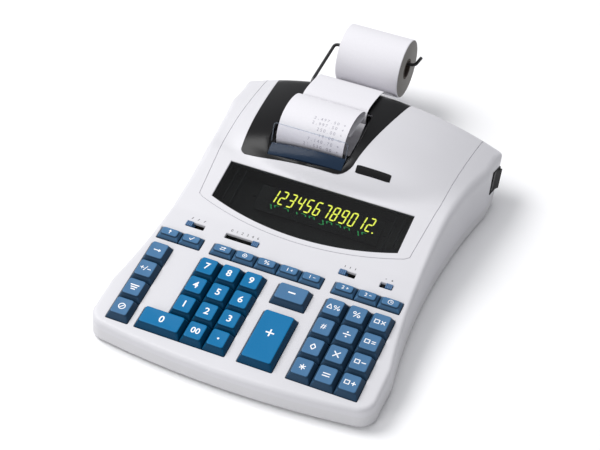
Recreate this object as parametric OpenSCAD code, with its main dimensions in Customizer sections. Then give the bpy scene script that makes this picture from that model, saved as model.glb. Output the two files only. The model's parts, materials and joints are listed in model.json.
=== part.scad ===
// Printing desk calculator with a paper roll on a wire holder.
// X is the width, +Y runs from the front edge to the paper roll, +Z is up, z = 0 is the desk.
// The drawing is laid out from the front edge of the case and shifted to the middle at the end.

/* [Case] */
// Half width of the case at its underside
case_half = 114; // [100:0.1:130]
// Half of the case width at the rear, behind the waist
rear_half = 116; // [100:0.5:140]
// Inward lean of each side wall, in mm per mm of height
side_lean = 0.03; // [0:0.01:0.3]
// Half width at the narrow waist, at desk level
waist_half = 105; // [90:0.1:115]
// Radius of the hollow that makes the waist
waist_radius = 553; // [300:1:900]
// Distance of the waist from the front edge
waist_y = 152; // [100:1:200]
// Radius of the bowed front edge in plan
front_radius = 720; // [300:1:1500]
// Corner radius at the front, in plan
front_corner = 14; // [4:0.5:30]
// Corner radius at the rear, in plan
rear_corner = 5; // [4:0.5:30]
// Height of the case underside above the desk
underside = 2.5; // [1:0.1:6]
// Wall thickness of both case halves
wall = 2.4; // [1.5:0.1:4]
// Height of the parting line between the case halves
parting = 12; // [8:0.5:16]
// Height of the deck at the front edge
deck_front = 18.5; // [14:0.5:30]
// Slope of the key deck, in degrees
deck_slope = 7.66; // [3:0.01:12]
// Distance from the front edge to the foot of the display ramp
ramp_y = 131; // [110:1:150]
// Distance from the front edge to the top of the display ramp
brow_y = 188.4; // [170:0.1:200]
// Height of the top of the display ramp
brow_z = 49; // [44:0.1:56]
// Radius of the arched hump across its width
hump_radius = 290; // [180:1:400]
// Height of the top of the hump
hump_top = 70; // [60:0.1:80]
// Distance from the front edge to the rear edge
rear_y = 306.5; // [290:0.5:330]
// Distance from the front edge to the foot of the rear wall
rear_foot_y = 285; // [270:0.5:306]

/* [Keys] */
// Distance between key columns
pitch_x = 18.4; // [16:0.1:20]
// Distance between key rows
pitch_y = 19.5; // [16:0.1:20]
// Distance from the front edge to the first row of keys
row_one = 23.7; // [20:0.1:30]
// Distance from the front edge to the row of function keys
row_function = 103.8; // [98:0.1:110]
// Depth of the function keys
function_depth = 11; // [8:0.1:14]
// Height of the main key tops above the deck
key_rise = 5.2; // [3:0.1:8]
// Height of the function key tops above the deck
function_rise = 3.4; // [2:0.1:6]
// Gap between neighbouring keys
key_gap = 0.5; // [0.3:0.1:1]
// Gap between a key and the edge of its well
well_gap = 0.4; // [0.3:0.1:1]
// How far the key top is drawn in on each side
key_taper = 2.1; // [0.5:0.1:3]
// Depth of the key skirt below the deck
key_skirt = 4; // [3:0.1:6]
// Travel of a key
key_travel = 3; // [1:0.1:4]

/* [Slide switches] */
// Distance from the front edge to the row of slide switches
slide_y = 120.1; // [114:0.1:126]
// Depth of each slot
slot_depth = 5; // [3:0.1:7]
// Width of a slide knob
knob_width = 5; // [3:0.1:7]
// Height of a slide knob above the deck
knob_rise = 1; // [0.5:0.1:3]

/* [Display] */
// Half width of the display window
window_half = 78.3; // [70:0.1:90]
// Radius of the bowed lower edge of the window
window_radius = 229; // [180:1:300]
// Distance from the front edge to the lowest point of the window
window_y = 136.9; // [130:0.1:150]
// Depth of the window face below the ramp
window_recess = 0.6; // [0:0.1:2]
// Thickness of the window
window_thick = 1.8; // [1:0.1:3]

/* [Printer] */
// Centre of the paper strip across the width
paper_x = -22; // [-40:0.5:40]
// Width of the paper roll and strip
paper_width = 57; // [44:0.5:80]
// Thickness the strip is drawn at
paper_thick = 0.3; // [0.1:0.1:0.6]
// Radius of the platen roller
platen_radius = 7; // [4:0.1:10]
// Distance from the front edge to the platen
platen_y = 221; // [210:0.5:235]
// Height of the platen
platen_z = 50; // [40:0.5:60]

/* [Paper roll] */
// Radius of the paper roll
roll_radius = 25.7; // [15:0.1:40]
// Radius of the hole through the core
core_bore = 7.3; // [5:0.1:10]
// Distance from the front edge to the roll axis
roll_y = 364.5; // [350:0.5:380]
// Height of the roll axis
roll_z = 49; // [42:0.5:60]
// Radius of the holder wire
wire_radius = 1.5; // [1:0.1:2.5]

/* [Node shown] */
// Sub-part to draw, or all

/* [Hidden] */
$fn = 96;
eps = 0.01;
big = 400;
// Taller than the case and deeper than its foot, for cutting right through.
tall = 100;
depth_total = roll_y + roll_radius;
axis_z = hump_top - hump_radius;
deck_rise = tan(deck_slope);
rear_top_z = hump_top - 22.2;
rear_lean = (rear_y - rear_foot_y) / (rear_top_z - underside);
rear_angle = atan(rear_lean);
lean_angle = atan(side_lean);
// How far a corner round stands outside the walls it meets, so that it crosses them cleanly.
blend_play = 0.03;
ramp_z = deck_front + ramp_y * deck_rise;
ramp_angle = atan((brow_z - ramp_z) / (brow_y - ramp_y));
key_depth = pitch_y - key_gap;
key_width = pitch_x - key_gap;
window_seat = window_recess + window_thick;
paper_left = paper_x - paper_width / 2;
paper_right = paper_x + paper_width / 2;
foot_radius = 6;
foot_sink = 1;
boss_radius = 4;
screw_hole = 1.45;
screw_top = 20;
screw_head_radius = 2.9;
screw_head_height = 1.4;
screw_sink = 0.2;
cross_length = 3.4;
cross_width = 0.7;
cross_depth = 0.9;
screw_spots = [[-70, 55], [39.5, 55], [-94, 246], [94, 246]];
foot_spots = [[-98, 26], [98, 26], [-98, 270], [98, 270]];
board_spots = [[-98, 18], [98, 18], [-98, 118], [98, 118]];
wire_z = roll_z + core_bore - wire_radius - 0.3;
wire_x = paper_left - 10.5;
wire_wall_z = 34;
wire_start_y = 287.5;
wire_rise_z = 49.6;
wire_tip = 11.5;
wire_tip_lean = 27;
guide_radius = 4;
guide_front = 284;
gland_x = 62;
gland_z = 22;
gland_bore = 3.5;
gland_wall = 2.5;
gland_front = 285;
gland_back = 298;
floor_z = underside + wall;
board_half = 102;
board_front = 14;
board_depth = 110;
board_low = -13.8;
board_top = board_low + 1.6;
board_parts = [[-70, 84, 18, 12], [-34, 90, 12, 20], [30, 86, 22, 14], [72, 92, 14, 14]];
board_parts_drop = 3.4;
post_radius = 3;
mat_depth = 98;
mat_gap = 0.1;
mat_top = board_top + 1.1;
dome_radius = 4.2;
dome_height = 4.6;
dome_bore = 2.6;
stem_radius = 1.8;
stem_end = board_top + key_travel + 0.6;
rocker_y = 281.5;
rocker_z = 26;
rocker_tilt = -20;
rocker_length = 18.8;
rocker_width = 16.8;
rocker_rest = 8;
rocker_pivot = -2.5;
rocker_well = 16;
rocker_play = 0.8;
pin_radius = 1.2;
pin_reach = 1.6;
ledge_width = 2.5;
ledge_thick = 1.6;
seam_half = 0.35;
seam_depth = 0.5;
seam_corner = [88.5, 149.8];
seam_knee = [93.2, 205];
seam_rear = [97, rear_y + 2];
seam_radius = 252;
seam_front = 132.3;
cover_wall = 2.2;
cover_front = 196.4;
cover_sink = 8;
well_front = 199.4;
well_back = 268;
blade_foot = [0, 207.6, 62.2];
blade_lean = 18;
blade_height = 17;
blade_half = 0.6;
tube_middle = [5.5, 170, 35.5];
tube_tilt = 25;
tube_glass = [104, 22, 3.2];
tube_back = [98, 18, 2];
tube_nipple = 1.1;
frame_left = paper_left - 5.5;
frame_right = paper_right + 5.5;
frame_front = 198;
frame_back = 252;
cheek_thick = 2;
cheek_back = 246;
cheek_top = 57;
frame_low = floor_z + 0.4;
drum_radius = 4.6;
drum_y = 207.4;
drum_z = 44;
motor_radius = 11;
motor_length = 30;
motor_y = 232;
motor_z = 22;
shaft_radius = 2;
gear_radius = 5.5;
gear_tooth = 1;
flank_foot = 0.4;
cap_wall = 1.2;
cap_dish = 0.35;
knob_low = 3.4;
knob_play = 0.3;
knob_flange = 1;
knob_rib = 0.6;
knob_rib_pitch = 1.4;

// Columns of the keypad, measured from the middle of the case.
col_left = -91.4;
col_number = -31;
col_sum = 20.3;
col_right = 72.5;
col_function = -9.5;
sum_width = 27.6;
row_two = row_one + pitch_y;
row_three = row_two + pitch_y;
row_four = row_three + pitch_y;
plus_depth = 49.4;
plus_y = row_one + (plus_depth - key_depth) / 2;

// Slots of the four slide switches: middle, width and where the knob rests.
slot_print = [-77.3, 15.4, -1];
slot_decimal = [-37.6, 28, 1];
slot_round = [50, 13.2, -1];
slot_rate = [81.5, 10, 1];

// ---------------------------------------------------------------- profiles

// Side view of the arched hump along its middle, as distance from the front and height.
hump_side = [[brow_y - 2.4, brow_z - 2], [brow_y, brow_z + 0.2], [192, 53.6], [196.5, 58.2], [204.6, 64],
    [215, 67.8], [229, hump_top - 0.3], [240, hump_top], [252, hump_top - 0.4], [268, hump_top - 1.6],
    [284, hump_top - 3.4], [296, hump_top - 5.2], [300.6, hump_top - 6.6], [303.8, hump_top - 8.8],
    [305.8, hump_top - 12], [rear_y, hump_top - 16]];

// Side view of the straight part of the case that carries the deck and the display.
flat_side = [[-2, 0], [-2, deck_front - 2 * deck_rise], [ramp_y, ramp_z], [brow_y, brow_z], [196, 50.6],
    [205, 50.8], [215, 49.6], [230, 46.8], [250, 43], [275, 39], [303, 35], [rear_y, 33], [rear_y + 4, 0]];

function drop(t, at_y) = at_y < 200 ? t : (at_y > 290 ? -t : 0);

// ---------------------------------------------------------------- helpers

// Extrudes a side view (distance from the front, height) across the width.
module across(width) {
    rotate([90, 0, 90])
        linear_extrude(height = width, center = true)
            children();
}

// Frame of the key deck: x across, y up the deck from the front edge, z out of the deck.
module on_deck() {
    translate([0, 0, deck_front])
        rotate([deck_slope, 0, 0])
            children();
}

// Frame of the display ramp, with its origin at the foot of the ramp.
module on_ramp() {
    translate([0, ramp_y, ramp_z])
        rotate([ramp_angle, 0, 0])
            children();
}

// Everything is laid out from the front edge and moved to the middle here.
module place() {
    translate([0, -depth_total / 2, 0])
        children();
}

// Box given by its two opposite corners.
module span(a, b) {
    translate(a)
        cube(b - a);
}

// Cylinder along X from x = a to x = b.
module rod_x(r, a, b, at_y, at_z) {
    translate([a, at_y, at_z])
        rotate([0, 90, 0])
            cylinder(r = r, h = b - a);
}

// Round rod between two points in a plane of constant x.
module rod_yz(r, x, p, q) {
    run = norm(q - p);
    translate([x, p[0], p[1]])
        rotate([-90 + atan2(q[1] - p[1], q[0] - p[0]), 0, 0])
            cylinder(r = r, h = run);
}

// ---------------------------------------------------------------- case

// Arched hump: a body turned about an axis that runs front to back below the desk.
module hump(t) {
    turned = [for (p = hump_side) [p[1] - axis_z - t, p[0] + drop(t, p[0])]];
    translate([0, 0, axis_z])
        rotate([-90, 0, 0])
            rotate_extrude($fn = 180)
                polygon(concat([[0, brow_y - 2.4 + t]], turned, [[0, rear_y - t]]));
}

// What is cut away outside a corner, whose middle is here and which points to +X and to side * Y.
// The outside is rounded and the inside has a flat chamfer.
module corner_cut(r, t, side, toe) {
    if (t == 0)
        difference() {
            translate([toe, side < 0 ? -big : 0, -30])
                cube([big, big, 140]);
            translate([0, 0, -31])
                cylinder(r = r, h = 142);
        }
    else
        rotate([0, 0, side * 45])
            translate([r - t, -big, -30])
                cube([big, 2 * big, 140]);
}

// Front corner; it leans with the side wall and blends into the bowed front.
module front_corner_cut(t) {
    centre_x = case_half - front_corner / cos(lean_angle);
    centre_r = front_radius - front_corner;
    blend = asin(centre_x / centre_r);
    translate([centre_x + blend_play, front_radius - centre_r * cos(blend) - blend_play, underside])
        rotate([0, -lean_angle, 0])
            corner_cut(front_corner, t, -1, front_corner * sin(blend));
}

// Rear corner; it leans with the side wall and with the rear wall.
module rear_corner_cut(t) {
    centre_x = rear_half - rear_corner / cos(lean_angle);
    translate([centre_x + blend_play, rear_foot_y - rear_corner / cos(rear_angle) + blend_play, underside])
        rotate([-atan(rear_lean * cos(lean_angle)), -lean_angle, 0])
            corner_cut(rear_corner, t, 1, 0);
}

// Block between two leaning side walls, from y = front to y = back.
module between_walls(base_x, front, back) {
    top_z = 80;
    translate([0, back, 0])
        rotate([90, 0, 0])
            linear_extrude(height = back - front)
                polygon([[-base_x, underside], [base_x, underside],
                    [base_x - side_lean * top_z, top_z], [side_lean * top_z - base_x, top_z]]);
}

// Solid outline of the whole case, drawn in by t on every side but the underside.
module case_solid(t) {
    difference() {
        intersection() {
            union() {
                between_walls(case_half - t, -10, waist_y);
                between_walls(rear_half - t, waist_y - 5, 320);
            }
            translate([0, front_radius, 0])
                cylinder(r = front_radius - t, h = tall, $fn = 360);
            across(2 * big)
                polygon([[-2, 0], [-2, tall], [rear_y - t, tall], [rear_y - t, rear_top_z],
                    [rear_foot_y - t, underside], [rear_foot_y - t, 0]]);
            union() {
                across(2 * big)
                    polygon([for (p = flat_side) [p[0], p[1] - (p[1] > 1 ? t : 0)]]);
                hump(t);
            }
        }
        for (side = [-1, 1])
            scale([side, 1, 1])
                translate([waist_half + waist_radius, waist_y, 0])
                    cylinder(r1 = waist_radius + t, r2 = waist_radius + t + 5, h = tall, $fn = 360);
        for (side = [0, 1])
            mirror([side, 0, 0]) {
                front_corner_cut(t);
                rear_corner_cut(t);
            }
    }
}

// Plan outline of the display, drawn in by g.
module display_plan(g) {
    intersection() {
        translate([-window_half + g, window_y - 2])
            square([2 * (window_half - g), brow_y - window_y + 2 - 1.2 - g]);
        translate([0, window_y + window_radius])
            circle(r = window_radius - g, $fn = 360);
    }
}

// Plan outline of the printer cover, drawn in by g.
module cover_plan(g) {
    front = cover_front + g;
    left_corner = 6;
    right_corner = 13;
    difference() {
        polygon([[-75.6 + g, front], [17.2 - g, front], [34 - g, rear_y + 6], [-87.6 + g, rear_y + 6]]);
        translate([-76.4 + g, front - 1])
            difference() {
                square([left_corner, left_corner + 1]);
                translate([left_corner, left_corner + 1])
                    circle(r = left_corner, $fn = 64);
            }
        translate([19.3 - g - right_corner, front - 1])
            difference() {
                square([right_corner, right_corner + 1]);
                translate([0, right_corner + 1])
                    circle(r = right_corner, $fn = 64);
            }
    }
}

// Room taken by the printer cover: its outline, down to a little below the hump.
module cover_zone(g) {
    difference() {
        linear_extrude(height = tall)
            cover_plan(g);
        translate([0, 0, axis_z - cover_sink + g])
            rotate([-90, 0, 0])
                rotate_extrude($fn = 180)
                    polygon(concat([[0, 180]],
                        [for (p = hump_side) [p[1] - axis_z, p[0] - (p[0] < 200 ? cover_sink : 0)]],
                        [[hump_radius - 19, rear_y + 12], [0, rear_y + 12]]));
    }
}

// Opening in the printer cover for the window and the paper.
module well_box(g) {
    span([paper_left - 2.5 - g, well_front - g, 30], [paper_right + 4.5 + g, well_back + g, tall]);
}

// One rectangular well through the deck.
module well(x, y, w, d) {
    on_deck()
        translate([x - w / 2, y - d / 2, -wall * 2])
            cube([w, d, wall * 4]);
}

module key_wells() {
    w = 2 * well_gap - key_gap;
    four = 4 * pitch_y + w;
    middle = (row_two + row_three) / 2;
    well(col_left, middle, pitch_x + w, four);
    well(col_number, middle, 3 * pitch_x + w, four);
    well(col_number - 1.5 * pitch_x, row_one, 2 * pitch_x + w, pitch_y + w);
    well(col_right, middle, 3 * pitch_x + w, four);
    well(col_sum, row_four, sum_width + 2 * well_gap, key_depth + 2 * well_gap);
    well(col_sum, plus_y, sum_width + 2 * well_gap, plus_depth + 2 * well_gap);
    well(col_left + pitch_x / 2, row_function, 2 * pitch_x + w, function_depth + 2 * well_gap);
    well(col_function, row_function, 5 * pitch_x + w, function_depth + 2 * well_gap);
    well(col_right, row_function, 3 * pitch_x + w, function_depth + 2 * well_gap);
}

module slide_slots() {
    for (s = [slot_print, slot_decimal, slot_round, slot_rate])
        well(s[0], slide_y, s[1], slot_depth);
}

// Fine groove that frames the display and runs back over the hump.
module seam_groove() {
    difference() {
        linear_extrude(height = tall) {
            for (side = [-1, 1])
                polygon([[side * (seam_corner[0] - seam_half), seam_corner[1]],
                    [side * (seam_corner[0] + seam_half), seam_corner[1]],
                    [side * (seam_knee[0] + seam_half), seam_knee[1]],
                    [side * (seam_rear[0] + seam_half), seam_rear[1]],
                    [side * (seam_rear[0] - seam_half), seam_rear[1]],
                    [side * (seam_knee[0] - seam_half), seam_knee[1]]]);
            intersection() {
                translate([0, seam_front + seam_radius])
                    difference() {
                        circle(r = seam_radius + seam_half, $fn = 360);
                        circle(r = seam_radius - seam_half, $fn = 360);
                    }
                translate([-seam_corner[0], 120])
                    square([2 * seam_corner[0], 40]);
            }
        }
        case_solid(seam_depth);
    }
}

// Frame of the power switch on the right side wall: x points outwards.
module rocker_frame() {
    translate([rear_half - side_lean * (rocker_z - underside), rocker_y, rocker_z])
        rotate([rocker_tilt, 0, 0])
            children();
}

module top_shell() {
    color([0.90, 0.90, 0.92])
        place()
            difference() {
                union() {
                    difference() {
                        case_solid(0);
                        case_solid(wall);
                        cover_zone(0);
                        key_wells();
                        slide_slots();
                        seam_groove();
                        linear_extrude(height = tall)
                            display_plan(0);
                    }
                    // Ledge that carries the display window.
                    intersection() {
                        case_solid(1);
                        difference() {
                            on_ramp()
                                translate([-window_half - 3, -2, -window_seat - ledge_thick])
                                    cube([2 * window_half + 6, 63, 2]);
                            linear_extrude(height = tall)
                                display_plan(ledge_width);
                            intersection() {
                                linear_extrude(height = tall)
                                    display_plan(0);
                                on_ramp()
                                    translate([-big, -big, -window_seat - 0.02])
                                        cube([2 * big, 2 * big, 20]);
                            }
                        }
                    }
                    intersection() {
                        case_solid(0.5);
                        union() {
                            // Guide tube of the wire holder inside the rear wall.
                            rod_yz(guide_radius, wire_x, [guide_front, wire_wall_z],
                                [rear_y - 0.5, wire_wall_z]);
                            // Bosses that the case screws bite into.
                            for (p = screw_spots)
                                translate([p[0], p[1], parting])
                                    cylinder(r = boss_radius, h = 60);
                        }
                    }
                    // Collar that the power cord comes out of.
                    rod_yz(gland_bore + gland_wall, gland_x, [gland_front, gland_z], [gland_back, gland_z]);
                }
                translate([-big, -big, -1])
                    cube([2 * big, 2 * big, parting + 1]);
                rod_yz(wire_radius + 0.05, wire_x, [guide_front - 4, wire_wall_z],
                    [rear_y + 14, wire_wall_z]);
                rod_yz(gland_bore, gland_x, [gland_front - 1, gland_z], [gland_back + 1, gland_z]);
                for (p = screw_spots)
                    translate([p[0], p[1], parting - 1])
                        cylinder(r = screw_hole, h = screw_top - parting + 3);
                rocker_frame() {
                    cube([rocker_well, rocker_length + 2 * rocker_play, rocker_width + 2 * rocker_play],
                        center = true);
                    translate([rocker_pivot, 0, -rocker_width / 2 - pin_reach - 0.2])
                        cylinder(r = pin_radius + 0.15, h = rocker_width + 2 * pin_reach + 0.4, $fn = 32);
                }
            }
}

module base_shell() {
    color([0.84, 0.84, 0.85])
        place() {
            difference() {
                union() {
                    difference() {
                        case_solid(0);
                        intersection() {
                            case_solid(wall);
                            translate([-big, -big, floor_z])
                                cube([2 * big, 2 * big, tall]);
                        }
                    }
                    // Bosses that the case screws pass through.
                    for (p = screw_spots)
                        translate([p[0], p[1], underside])
                            cylinder(r = boss_radius, h = parting);
                }
                translate([-big, -big, parting])
                    cube([2 * big, 3 * big, tall]);
                for (p = screw_spots)
                    translate([p[0], p[1], underside - 1]) {
                        cylinder(r = screw_hole, h = 12);
                        cylinder(r = screw_head_radius + 0.3, h = screw_sink + screw_head_height + 1);
                    }
                for (p = foot_spots)
                    translate([p[0], p[1], underside - 1])
                        cylinder(r = foot_radius + 0.05, h = 1 + foot_sink);
            }
            // Posts that carry the circuit board.
            difference() {
                for (p = board_spots)
                    translate([p[0], p[1] * cos(deck_slope) - board_low * sin(deck_slope), floor_z - 1])
                        cylinder(r = post_radius, h = 24);
                on_deck()
                    translate([-big, -big, board_low])
                        cube([2 * big, 2 * big, tall]);
            }
        }
}

module rubber_feet() {
    color([0.12, 0.12, 0.12])
        place()
            for (p = foot_spots)
                translate([p[0], p[1], 0]) {
                    cylinder(r1 = foot_radius - 0.8, r2 = foot_radius, h = underside);
                    translate([0, 0, underside])
                        cylinder(r = foot_radius, h = foot_sink - eps);
                }
}

module case_screws() {
    color([0.55, 0.55, 0.57])
        place()
            for (p = screw_spots)
                translate([p[0], p[1], underside + screw_sink])
                    difference() {
                        union() {
                            cylinder(r = screw_head_radius, h = screw_head_height);
                            cylinder(r = screw_hole - 0.05, h = screw_top - underside);
                        }
                        for (turn = [0, 90])
                            translate([0, 0, cross_depth / 2 - 0.05])
                                rotate([0, 0, turn])
                                    cube([cross_length, cross_width, cross_depth], center = true);
                    }
}

module display_window() {
    color([0.13, 0.14, 0.15])
        place()
            intersection() {
                on_ramp()
                    translate([-big, -big, -window_seat])
                        cube([2 * big, 2 * big, window_thick]);
                linear_extrude(height = tall)
                    display_plan(0.1);
            }
}

module display_tube() {
    color([0.20, 0.24, 0.22])
        place()
            translate(tube_middle)
                rotate([tube_tilt, 0, 0]) {
                    cube(tube_glass, center = true);
                    translate([0, 0, -(tube_glass[2] + tube_back[2]) / 2])
                        cube(tube_back, center = true);
                    // Sealed filling tubes at both ends.
                    for (side = [-1, 1])
                        translate([side * (tube_glass[0] / 2 + 2), 0, -0.4])
                            rotate([0, side * 90, 0])
                                cylinder(r = tube_nipple, h = 3, $fn = 32);
                }
}

// ---------------------------------------------------------------- inside

// Places a child under the middle of every key.
module at_keys() {
    for (x = [col_left, col_number - pitch_x, col_number, col_number + pitch_x,
            col_right - pitch_x, col_right, col_right + pitch_x])
        for (y = [row_two, row_three, row_four])
            translate([x, y, 0])
                children();
    for (x = [col_left, col_number - 2 * pitch_x + pitch_x / 2, col_number, col_number + pitch_x,
            col_right - pitch_x, col_right, col_right + pitch_x])
        translate([x, row_one, 0])
            children();
    for (x = [col_left, col_left + pitch_x, col_right - pitch_x, col_right, col_right + pitch_x])
        translate([x, row_function, 0])
            children();
    for (i = [-2:2])
        translate([col_function + i * pitch_x, row_function, 0])
            children();
    translate([col_sum, row_four, 0])
        children();
    translate([col_sum, plus_y, 0])
        children();
}

// Room for the front case bosses through the board and the mat.
module boss_holes() {
    for (p = [screw_spots[0], screw_spots[1]])
        translate([p[0], p[1] - 1, -20])
            cylinder(r = boss_radius + 1.6, h = 20);
}

module circuit_board() {
    color([0.16, 0.36, 0.22])
        place()
            on_deck()
                difference() {
                    union() {
                        translate([-board_half, board_front, board_low])
                            cube([2 * board_half, board_depth, board_top - board_low]);
                        // Components on the underside of the board.
                        for (c = board_parts)
                            translate([c[0], c[1], board_low - board_parts_drop])
                                cube([c[2], c[3], board_parts_drop + 0.1]);
                    }
                    for (p = board_spots)
                        translate([p[0], p[1], board_low - 1])
                            cylinder(r = 1.6, h = 4);
                    boss_holes();
                }
}

module key_mat() {
    color([0.75, 0.76, 0.74])
        place()
            on_deck()
                difference() {
                    union() {
                        translate([-board_half, board_front, board_top + mat_gap])
                            cube([2 * board_half, mat_depth, mat_top - board_top - mat_gap]);
                        at_keys()
                            translate([0, 0, board_top + mat_gap])
                                cylinder(r = dome_radius, h = dome_height, $fn = 48);
                    }
                    at_keys()
                        translate([0, 0, board_top - 1])
                            cylinder(r = dome_bore, h = 8, $fn = 48);
                    boss_holes();
                }
}

module printer_frame() {
    color([0.30, 0.31, 0.33])
        place()
            difference() {
                union() {
                    span([frame_left, frame_front, frame_low],
                        [frame_right, frame_back, frame_low + cheek_thick]);
                    for (x = [frame_left, frame_right - cheek_thick])
                        difference() {
                            span([x, frame_front, frame_low], [x + cheek_thick, cheek_back, cheek_top]);
                            // The cheeks slope off at the front, below the window.
                            translate([x - 1, frame_front - 14, cheek_top])
                                rotate([-30, 0, 0])
                                    translate([0, 0, -14])
                                        cube([2 * cheek_thick, 22, 40]);
                        }
                    // Print drum in front of the platen.
                    rod_x(drum_radius, frame_left + 1, frame_right - 1, drum_y, drum_z);
                    // Motor on the right of the mechanism, and its bracket.
                    rod_x(motor_radius, frame_right - 1, frame_right + motor_length, motor_y, motor_z);
                    span([frame_right - 1, motor_y - 6, frame_low],
                        [frame_right + 20, motor_y + 6, motor_z - 8]);
                }
                rod_x(shaft_radius + 0.06, frame_left - 1, frame_right + 1, platen_y, platen_z);
            }
}

module platen_roller() {
    color([0.10, 0.10, 0.11])
        place() {
            rod_x(platen_radius, paper_left - 1, paper_right + 1, platen_y, platen_z);
            rod_x(shaft_radius, frame_left - 2, frame_right + 6, platen_y, platen_z);
            // Gear on the end of the shaft.
            difference() {
                rod_x(gear_radius, frame_right + 2, frame_right + 5, platen_y, platen_z);
                for (a = [0:30:330])
                    translate([0, platen_y, platen_z])
                        rotate([a, 0, 0])
                            translate([frame_right + 1, gear_radius - 0.3, -gear_tooth / 2])
                                cube([5, gear_tooth, gear_tooth]);
            }
        }
}

module printer_cover() {
    color([0.11, 0.11, 0.12])
        place()
            difference() {
                intersection() {
                    difference() {
                        case_solid(0);
                        case_solid(cover_wall);
                    }
                    cover_zone(0.15);
                }
                well_box(0);
            }
}

module tear_window() {
    color([0.12, 0.22, 0.36, 0.75])
        place() {
            intersection() {
                difference() {
                    case_solid(0.2);
                    case_solid(1.8);
                }
                span([paper_left - 2.2, well_front + 0.3, 40], [paper_right + 4.2, well_front + 9.6, tall]);
            }
            // Clear tear-off blade standing in front of the strip.
            translate(blade_foot)
                rotate([-blade_lean, 0, 0])
                    span([paper_left - 2.2, -blade_half, 0], [paper_right + 4.2, blade_half, blade_height]);
        }
}

// Side view of the paper strip, from its curled end to the roll.
strip_front = [[228, 72.3], [236, 72.4], [244, 71.9], [252, 71], [258.5, 70.9], [261.2, 72.2], [260.5, 74.5],
    [256.5, 77.8], [250, 80.9], [242, 82.8], [234, 83], [226.5, 81.6], [220.6, 78.6], [216, 73.6],
    [213, 67.6], [212.4, 62], [213.3, 56]];
strip_wrap = platen_radius + 0.3 + paper_thick / 2;
strip_back = [[263.4, 60], [264.2, 66], [266, 69.8], [269.6, 71.4], [278, 71.2], [290, 69.4], [299, 67.3],
    [305.4, 64.3], [310.4, 60.4]];
roll_gap = roll_radius + 0.3 + paper_thick / 2;
strip_last = strip_back[len(strip_back) - 1];
roll_reach = norm([strip_last[0] - roll_y, strip_last[1] - roll_z]);
roll_turn = atan2(strip_last[1] - roll_z, strip_last[0] - roll_y) + acos(roll_gap / roll_reach);
strip_path = concat(strip_front,
    [for (a = [180:12:288]) [platen_y + strip_wrap * cos(a), platen_z + strip_wrap * sin(a)]],
    strip_back,
    [[roll_y + roll_gap * cos(roll_turn), roll_z + roll_gap * sin(roll_turn)]]);

// Unit normal of the strip at point i.
function strip_normal(i) =
    let (a = strip_path[max(i - 1, 0)],
        b = strip_path[min(i + 1, len(strip_path) - 1)],
        d = (b - a) / norm(b - a))
        [-d[1], d[0]];

module paper_strip() {
    last = len(strip_path) - 1;
    half = paper_thick / 2;
    color([0.96, 0.96, 0.95])
        place()
            translate([paper_x, 0, 0])
                across(paper_width)
                    polygon(concat([for (i = [0:last]) strip_path[i] + half * strip_normal(i)],
                        [for (i = [last:-1:0]) strip_path[i] - half * strip_normal(i)]));
}

module paper_roll() {
    color([0.95, 0.95, 0.94])
        place()
            difference() {
                rod_x(roll_radius, paper_left, paper_right, roll_y, roll_z);
                rod_x(core_bore, paper_left - 1, paper_right + 1, roll_y, roll_z);
            }
}

// Bends of the holder wire, as distance from the front and height.
wire_bends = [[wire_start_y, wire_wall_z], [rear_y, wire_wall_z], [rear_y + 6.5, wire_rise_z],
    [roll_y, wire_z]];
wire_end = paper_right + 6.5;
wire_bead = wire_radius + 0.04;

module roll_holder() {
    color([0.13, 0.13, 0.14])
        place() {
            for (i = [0:2])
                rod_yz(wire_radius, wire_x, wire_bends[i], wire_bends[i + 1]);
            for (i = [1:3])
                translate([wire_x, wire_bends[i][0], wire_bends[i][1]])
                    sphere(r = wire_bead);
            rod_x(wire_radius, wire_x, wire_end, roll_y, wire_z);
            translate([wire_end, roll_y, wire_z]) {
                sphere(r = wire_bead);
                rotate([0, wire_tip_lean, 0])
                    cylinder(r = wire_radius, h = wire_tip);
            }
        }
}

module power_rocker() {
    color([0.09, 0.09, 0.10])
        place()
            rocker_frame()
                translate([rocker_pivot, 0, -rocker_width / 2])
                    rotate([0, 0, -rocker_rest]) {
                        translate([-rocker_pivot, 0, 0])
                            linear_extrude(height = rocker_width)
                                polygon([[-5, -rocker_length / 2], [-5, rocker_length / 2],
                                    [1.4, rocker_length / 2], [0.2, 0], [1.4, -rocker_length / 2]]);
                        // Pins that the rocker turns on.
                        translate([0, 0, -pin_reach])
                            cylinder(r = pin_radius, h = rocker_width + 2 * pin_reach, $fn = 32);
                    }
}

// ---------------------------------------------------------------- slide switches

// Knob of a slide switch, with its flange under the deck and ribs across its top.
module slide(s) {
    side_gap = knob_width / 2 + knob_play;
    color([0.28, 0.42, 0.58])
        place()
            on_deck()
                translate([s[0] + s[2] * (s[1] / 2 - side_gap), slide_y, 0])
                    difference() {
                        union() {
                            translate([-knob_width / 2, knob_play - slot_depth / 2, -knob_low])
                                cube([knob_width, slot_depth - 2 * knob_play, knob_low + knob_rise]);
                            translate([-knob_width / 2 - knob_flange, -slot_depth / 2 - knob_flange,
                                -knob_low - 1])
                                cube([knob_width + 2 * knob_flange, slot_depth + 2 * knob_flange, 1.2]);
                        }
                        for (i = [-1, 0, 1])
                            translate([i * knob_rib_pitch - knob_rib / 2, -slot_depth, knob_rise - 0.4])
                                cube([knob_rib, 2 * slot_depth, 1]);
                    }
}

module slide_print() { slide(slot_print); }
module slide_decimal() { slide(slot_decimal); }
module slide_round() { slide(slot_round); }
module slide_rate() { slide(slot_rate); }

// ---------------------------------------------------------------- keys

blue = [0.10, 0.47, 0.70];
slate = [0.31, 0.48, 0.64];

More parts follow.
